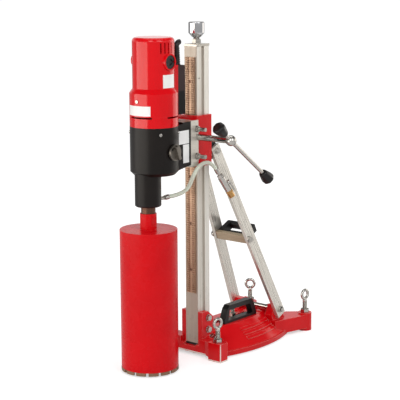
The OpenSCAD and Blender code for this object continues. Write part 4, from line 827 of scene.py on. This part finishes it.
@dataclass
class Studio:
    """Camera, floor, lamps and background."""

    azimuth: float = 40.0
    elevation: float = 11.0
    distance: float = 4.2971
    aim: Triple = (0.0, 0.0, 0.5)
    lens: float = 119.817
    sensor: float = 36.0
    view_end: float = 200.0
    roll: float = -0.3
    shift: tuple[float, float] = (0.00675, 0.007)
    lamp_aim: Triple = (0.0, -0.1, 0.8)
    warm: Triple = (1.0, 0.94, 0.86)
    floor_half: float = 45.0
    floor_tone: float = 0.65
    floor_glow_reach: tuple[float, float] = (0.8, 3.6)
    floor_glow: tuple[float, float] = (0.54, 0.7)
    floor_mirror_glow: float = 0.12
    soft_light: float = 0.5
    sky_span: tuple[float, float] = (0.2, 0.55)
    sky_top: float = 0.12

    def build(self) -> None:
        """Set up the camera, the floor, the lamps and the background."""
        self.camera()
        self.floor()
        self.background()
        for lamp in (
            Lamp("key_lamp", (-1.2, -2.8, 0.5), (4.0, 0.9), 40.0, self.warm),
            Lamp("rim_lamp", (0.85, 3.1, 1.0), (2.8, 1.9), 24.0, self.warm),
            Lamp("fill_lamp", (3.0, -0.7, 2.7), (1.6, 1.6), 40.0),
            Lamp("front_lamp", (1.7, -3.4, 2.9), (1.6, 1.6), 44.0),
            Lamp("top_lamp", (-0.4, 0.6, 3.4), (2.2, 2.2), 24.0),
        ):
            self.hang(lamp)
        bpy.context.scene.view_settings.view_transform = "Standard"

    def camera(self) -> None:
        """Place the camera at the photograph's viewing angle."""
        turn, rise, roll = (math.radians(v) for v in (self.azimuth, self.elevation, self.roll))
        back = Vector((math.sin(turn) * math.cos(rise), -math.cos(turn) * math.cos(rise), math.sin(rise)))
        right = Vector((math.cos(turn), math.sin(turn), 0.0))
        up = back.cross(right)
        across = right * math.cos(roll) + up * math.sin(roll)
        above = up * math.cos(roll) - right * math.sin(roll)
        spot = Vector(self.aim) + back * self.distance
        data = bpy.data.cameras.new("photo_camera")
        data.lens = self.lens
        data.sensor_width = self.sensor
        data.shift_x, data.shift_y = self.shift
        data.clip_end = self.view_end
        item = bpy.data.objects.new("photo_camera", data)
        item.matrix_world = Matrix((
            (across.x, above.x, back.x, spot.x),
            (across.y, above.y, back.y, spot.y),
            (across.z, above.z, back.z, spot.z),
            (0.0, 0.0, 0.0, 1.0),
        ))
        bpy.context.scene.collection.objects.link(item)
        bpy.context.scene.camera = item

    def floor(self) -> None:
        """Lay the pale floor."""
        half = self.floor_half
        mesh = bpy.data.meshes.new("studio_floor")
        mesh.from_pydata([(-half, -half, 0.0), (half, -half, 0.0), (half, half, 0.0), (-half, half, 0.0)], [],
                         [(0, 1, 2, 3)])
        item = bpy.data.objects.new("studio_floor", mesh)
        bpy.context.scene.collection.objects.link(item)
        material = bpy.data.materials.new("pale_floor")
        material.use_nodes = True
        board = NodeBoard(material.node_tree)
        matt = board.add("ShaderNodeBsdfDiffuse")
        matt.inputs["Color"].default_value = (self.floor_tone, self.floor_tone, self.floor_tone, 1.0)
        glow = board.add("ShaderNodeEmission")
        path = board.add("ShaderNodeLightPath")
        reach = board.add("ShaderNodeVectorMath")
        reach.operation = "LENGTH"
        board.link(board.add("ShaderNodeTexCoord").outputs["Object"], reach.inputs[0])
        far = board.band(reach.outputs["Value"], *self.floor_glow_reach, *self.floor_glow)
        level = board.maths("MULTIPLY", path.outputs["Is Camera Ray"], far)
        mirror = board.maths("MULTIPLY", self.mirrored(board, path), self.floor_mirror_glow)
        board.link(board.maths("ADD", level, mirror), glow.inputs["Strength"])
        both = board.add("ShaderNodeAddShader")
        board.link(matt.outputs[0], both.inputs[0])
        board.link(glow.outputs[0], both.inputs[1])
        board.link(both.outputs[0], board.add("ShaderNodeOutputMaterial").inputs["Surface"])
        mesh.materials.append(material)

    @staticmethod
    def mirrored(board: NodeBoard, path: bpy.types.Node) -> bpy.types.NodeSocket:
        """Tell mirror and see-through rays from the rest.

        Args:
            board: Board to add to.
            path: Its light path node.

        Returns:
            The socket with 1 on those rays.
        """
        return board.maths("MAXIMUM", path.outputs["Is Glossy Ray"], path.outputs["Is Transmission Ray"])

    def background(self) -> None:
        """Make the white background, paler at the horizon than overhead, and its soft light from all sides."""
        world = bpy.data.worlds.new("white_studio")
        bpy.context.scene.world = world
        world.use_nodes = True
        board = NodeBoard(world.node_tree)
        shade = board.add("ShaderNodeBackground")
        shade.inputs["Color"].default_value = (1.0, 1.0, 1.0, 1.0)
        path = board.add("ShaderNodeLightPath")
        parts = board.add("ShaderNodeSeparateXYZ")
        board.link(board.add("ShaderNodeTexCoord").outputs["Generated"], parts.inputs["Vector"])
        soft = self.soft_light
        high = board.band(parts.outputs["Z"], *self.sky_span, 1.0 - soft, self.sky_top - soft)
        seen = board.maths("MULTIPLY", self.mirrored(board, path), high)
        seen = board.maths("ADD", seen, board.maths("MULTIPLY", path.outputs["Is Camera Ray"], 1.0 - soft))
        board.link(board.maths("ADD", seen, soft), shade.inputs["Strength"])
        board.link(shade.outputs[0], board.add("ShaderNodeOutputWorld").inputs["Surface"])

    def hang(self, lamp: Lamp) -> None:
        """Hang one soft lamp that points at the rig.

        Args:
            lamp: The lamp.
        """
        data = bpy.data.lights.new(lamp.name, "AREA")
        data.shape = "RECTANGLE"
        data.size, data.size_y = lamp.size
        data.energy = lamp.power
        data.color = lamp.colour
        item = bpy.data.objects.new(lamp.name, data)
        item.location = lamp.place
        item.rotation_euler = (Vector(self.lamp_aim) - Vector(lamp.place)).to_track_quat("-Z", "Y").to_euler()
        item.visible_camera = False
        bpy.context.scene.collection.objects.link(item)


@dataclass
class WaterLine:
    """Fitting, clear hose with its ferrules, and the ball valve at its end."""

    bore: float = 6.5
    start: Triple = (0.0, -150.0, 541.0)
    middle: tuple[Triple, ...] = (
        (1.5, -136.5, 541.5), (6.5, -124, 542.5), (13.5, -113, 545.5), (22.5, -104, 550.5), (31.5, -97, 557.5),
        (39.5, -92.5, 567.5), (46, -90, 579), (51, -88.5, 591.5), (55, -85, 604), (58, -79, 615.5),
        (59.5, -70.5, 626), (60.5, -59.5, 634), (60.5, -47, 639), (60, -33.5, 641), (60, -20.5, 640),
        (60.5, -7.5, 635.5), (61.5, 4, 628.5), (64, 13, 619),
    )
    handle_reach: float = 4.3
    valve: Triple = (67.5, 20.0, 607.5)
    valve_axis: Triple = (0.3009075, 0.3993178, -0.8660254)
    ferrule_points: int = 36
    ferrule_bore: float = 6.7
    ferrule_radius: float = 8.0
    ferrule_lip: float = 7.6
    groove_radius: float = 7.4
    grooves: int = 5

    def build(self, finishes: Finishes) -> None:
        """Build the hose and dress the fittings.

        Args:
            finishes: The rig's finishes.
        """
        dress("water_fitting", finishes.zinc, 0.4)
        dress("valve_body", finishes.zinc, 0.6)
        dress("valve_inlet", finishes.brass, 0.5)
        dress("valve_lever", finishes.zinc, 0.5)
        hose = self.hose(finishes)
        near = self.ferrule("hose_ferrule_nose", self.start, (0.0, 1.0, 0.0), -9.0, 9.0, finishes)
        far = self.ferrule("hose_ferrule_valve", self.valve, self.valve_axis, -10.0, 8.0, finishes)

    def hose(self, finishes: Finishes) -> bpy.types.Object:
        """Draw the hose as one smooth curve along its route.

        Args:
            finishes: The rig's finishes.

        Returns:
            The curve object.
        """
        route = [Vector(p) * MM for p in (self.start, *self.middle, self.valve)]
        data = bpy.data.curves.new("clear_water_hose", "CURVE")
        data.dimensions = "3D"
        data.bevel_depth = self.bore * MM
        data.bevel_resolution = 6
        data.resolution_u = 6
        data.use_fill_caps = True
        spline = data.splines.new("BEZIER")
        spline.bezier_points.add(len(route) - 1)
        for point, place in zip(spline.bezier_points, route):
            point.co = place
            point.handle_left_type = point.handle_right_type = "AUTO"
        reach = self.handle_reach * MM
        for point, along in ((spline.bezier_points[0], (0.0, 1.0, 0.0)), (spline.bezier_points[-1], self.valve_axis)):
            point.handle_left_type = point.handle_right_type = "FREE"
            point.handle_left = point.co - Vector(along) * reach
            point.handle_right = point.co + Vector(along) * reach
        data.materials.append(finishes.hose)
        item = bpy.data.objects.new("clear_water_hose", data)
        bpy.context.scene.collection.objects.link(item)
        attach(item, "carriage")
        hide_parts("water_hose")
        LOG.info("built clear_water_hose along %d points", len(route))
        return item

    def ferrule(self, name: str, place: Triple, along: Triple, low: float, high: float,
                finishes: Finishes) -> bpy.types.Object:
        """Crimp a grooved ferrule over one end of the hose.

        Args:
            name: Name of the piece.
            place: Point on the hose's axis in millimetres.
            along: Direction of the axis there.
            low: Lower end on the axis in millimetres.
            high: Upper end on the axis in millimetres.
            finishes: The rig's finishes.

        Returns:
            The new object.
        """
        sheet = MeshSheet()
        step = (high - low) / (self.grooves + 1)
        bore, lip, outer, inner = self.ferrule_bore, self.ferrule_lip, self.ferrule_radius, self.groove_radius
        profile = [(bore, low), (lip, low), (outer, low + 0.5)]
        for i in range(1, self.grooves + 1):
            z = low + step * i
            profile += [(outer, z - 1.0), (inner, z - 0.4), (inner, z + 0.4), (outer, z + 1.0)]
        profile += [(outer, high - 0.5), (lip, high), (bore, high)]
        sheet.lathe(profile, frame_at(place, along), self.ferrule_points, closed=True)
        return sheet.piece(name, finishes.zinc, "carriage")


@dataclass
class Stand:
    """Base casting, column, rack, braces and their fasteners."""

    stud_at: tuple[float, float] = (0.0, 184.0)
    stud_radius: float = 6.0
    stud_pitch: float = 1.75
    stud_span: tuple[float, float] = (41.0, 116.0)

    def build(self, finishes: Finishes) -> None:
        """Dress the stand.

        Args:
            finishes: The rig's finishes.
        """
        dress("base_casting", finishes.base, 2.2, 3)
        dress("base_handle", finishes.plastic, 5.0, 4)
        dress("stand_screws", finishes.dark)
        dress("anchor_nut", finishes.zinc, 0.6)
        dress("column", finishes.column, 1.0)
        dress("column_foot_plug", finishes.plastic, 0.6)
        dress("column_cap", finishes.cap, 0.8)
        dress("rack", finishes.rack)
        dress("column_clamp_bolts", finishes.zinc, 0.6)
        dress("right_brace", finishes.bar, 0.8)
        dress("left_brace", finishes.bar, 0.8)
        dress("brace_head", finishes.plastic, 1.6)
        dress("brace_crossbar", finishes.cross, 0.8)
        dress("brace_grip", finishes.plastic, 4.0, 4)
        dress("brace_pivot_rod", finishes.zinc, 0.8)
        dress("brace_bolts", finishes.zinc, 0.6)
        dress("leveling_lock_nuts", finishes.zinc, 0.8)
        sheet = MeshSheet()
        x, y = self.stud_at
        place = Matrix.Translation(Vector((x, y, 0.0)) * MM)
        sheet.thread(self.stud_radius, self.stud_pitch, *self.stud_span, place)
        sheet.piece("anchor_stud_thread", finishes.zinc, "stand", ("anchor_stud",))


class Corner(Enum):
    """The four feet of the base: place in millimetres and turn of the screw's eye in degrees."""

    FRONT_RIGHT = ("front_right", 113.0, -36.0, 78.0)
    FRONT_LEFT = ("front_left", -113.0, -36.0, 0.0)
    REAR_RIGHT = ("rear_right", 120.0, 435.0, 84.0)
    REAR_LEFT = ("rear_left", -120.0, 435.0, 35.0)


@dataclass
class LevellingScrews:
    """Eye screws in the four feet, with their swivel pads."""

    radius: float = 8.0
    pitch: float = 2.0
    foot: float = 7.05
    eye_height: float = 125.0
    eye_radius: float = 15.0
    wire: float = 5.0
    thread_end: float = -9.0
    neck_profile: tuple[tuple[float, float], ...] = (
        (6.8, -10.0), (8.0, -8.0), (8.0, -5.0), (6.6, -1.0), (5.2, 2.0), (3.0, 3.4),
    )

    def build(self, finishes: Finishes) -> None:
        """Build the four screws and dress their pads.

        Args:
            finishes: The rig's finishes.
        """
        for corner in Corner:
            name, x, y, turn = corner.value
            dress("leveling_pad_" + name, finishes.zinc, 0.6)
            sheet = MeshSheet()
            place = Matrix.Translation(Vector((x, y, 0.0)) * MM)
            neck = self.eye_height - self.eye_radius
            sheet.thread(self.radius, self.pitch, self.foot, neck + self.thread_end, place)
            sheet.lathe([(radius, neck + height) for radius, height in self.neck_profile], place, ROD_POINTS)
            ring = place @ Matrix.Translation((0.0, 0.0, self.eye_height * MM)) @ \
                Matrix.Rotation(math.radians(turn), 4, "Z") @ Matrix.Rotation(math.radians(90.0), 4, "X")
            sheet.torus(self.eye_radius, self.wire, ring)
            sheet.piece("leveling_eye_screw_" + name, finishes.zinc, "screw_" + name,
                        ("leveling_screw_" + name,))


@dataclass
class Jack:
    """Ceiling jack on the column: cup and screw."""

    radius: float = 10.0
    pitch: float = 2.5
    span: tuple[float, float] = (945.95, 1053.95)

    def build(self, finishes: Finishes) -> None:
        """Build the screw and dress the cup.

        Args:
            finishes: The rig's finishes.
        """
        dress("jack_cup", finishes.chrome, 1.0, 3)
        sheet = MeshSheet()
        sheet.thread(self.radius, self.pitch, *self.span, Matrix.Identity(4))
        sheet.piece("jack_screw_thread", finishes.zinc, "jack_screw", ("jack_screw",))


@dataclass
class Carriage:
    """Carriage casting, its guide pads, and the plate that carries the motor."""

    def build(self, finishes: Finishes) -> None:
        """Dress the carriage.

        Args:
            finishes: The rig's finishes.
        """
        dress("carriage", finishes.casting, 1.6, 3)
        dress("guide_pads", finishes.nylon, 0.5)
        dress("motor_plate", finishes.plate, 0.8)
        dress("plate_clamp_bolts", finishes.zinc, 0.6)


@dataclass
class FeedHandle:
    """Feed shaft with its hub, and the sliding bar with a knob on each end."""

    hub: Triple = (178.0, -49.4, 724.0)
    along: Triple = (0.0, 0.7986355, -0.601815)
    knob_places: tuple[float, float] = (-60.0, 224.0)
    knob_points: int = 64
    flutes: int = 8
    flute_depth: float = 0.07
    knob_profile: tuple[tuple[float, float], ...] = (
        (6.6, -23.0), (9.8, -23.0), (11.8, -22.0), (13.2, -19.5), (14.6, -15.0), (16.8, -6.0), (19.2, 3.0),
        (20.6, 9.5), (21.0, 13.0), (20.5, 16.5), (18.6, 19.8), (15.2, 22.0), (9.6, 23.0), (3.0, 23.2),
    )

    def build(self, finishes: Finishes) -> None:
        """Build the knobs and dress the shaft and the bar.

        Args:
            finishes: The rig's finishes.
        """
        dress("feed_shaft", finishes.zinc)
        dress("feed_bar", finishes.zinc, 0.6)
        sheet = MeshSheet()
        direction = Vector(self.along)
        for spot, side in zip(self.knob_places, (-1.0, 1.0)):
            centre = Vector(self.hub) + direction * spot
            sheet.lathe(self.knob_profile, frame_at(tuple(centre), tuple(direction * side)), self.knob_points,
                        self.flutes, self.flute_depth)
        sheet.piece("feed_knobs_fluted", finishes.plastic, "feed_bar", ("feed_knobs",))


@dataclass
class DrillHead:
    """Gear case, motor shells, switch and what is inside them."""

    def build(self, finishes: Finishes) -> None:
        """Dress the drill head.

        Args:
            finishes: The rig's finishes.
        """
        dress("gear_housing", finishes.case, 1.6, 3)
        dress("motor_flange", finishes.shell, 0.8)
        dress("motor_housing", finishes.shell, 1.2, 3)
        dress("motor_end_cap", finishes.shell, 1.0, 3)
        dress("brush_caps", finishes.plastic, 0.8)
        dress("carbon_brushes", finishes.carbon)
        dress("field_stator", finishes.copper)
        dress("switch_housing", finishes.switch_case, 1.6, 3)
        dress("cord_boot", finishes.rubber, 0.6)
        dress("blank_plates", finishes.label, 0.2)
        dress("housing_screws", finishes.zinc, 0.3)
        dress("bearings", finishes.zinc)
        dress("intermediate_gear", finishes.dark)
        dress("armature", finishes.iron)
        dress("gear_selector", finishes.knob_metal, 0.8)
        dress("rocker_switch", finishes.plastic, 0.8)


@dataclass
class CoreBit:
    """Spindle, core bit and the segments on its crown."""

    def build(self, finishes: Finishes) -> None:
        """Dress the spindle and the bit.

        Args:
            finishes: The rig's finishes.
        """
        dress("spindle", finishes.dark, 0.6)
        dress("spindle_gear", finishes.dark)
        dress("core_bit", finishes.barrel, 1.0, 3)
        dress("bit_segments", finishes.segment, 0.4)


def main() -> None:
    """Build the studio and every sub-assembly."""
    logging.basicConfig(level=logging.INFO, format="%(name)s: %(message)s")
    Studio().build()
    finishes = Finishes()
    WaterLine().build(finishes)
    for assembly in (Stand(), LevellingScrews(), Jack(), Carriage(), FeedHandle(), DrillHead(), CoreBit()):
        assembly.build(finishes)


if __name__ == "__main__":
    main()
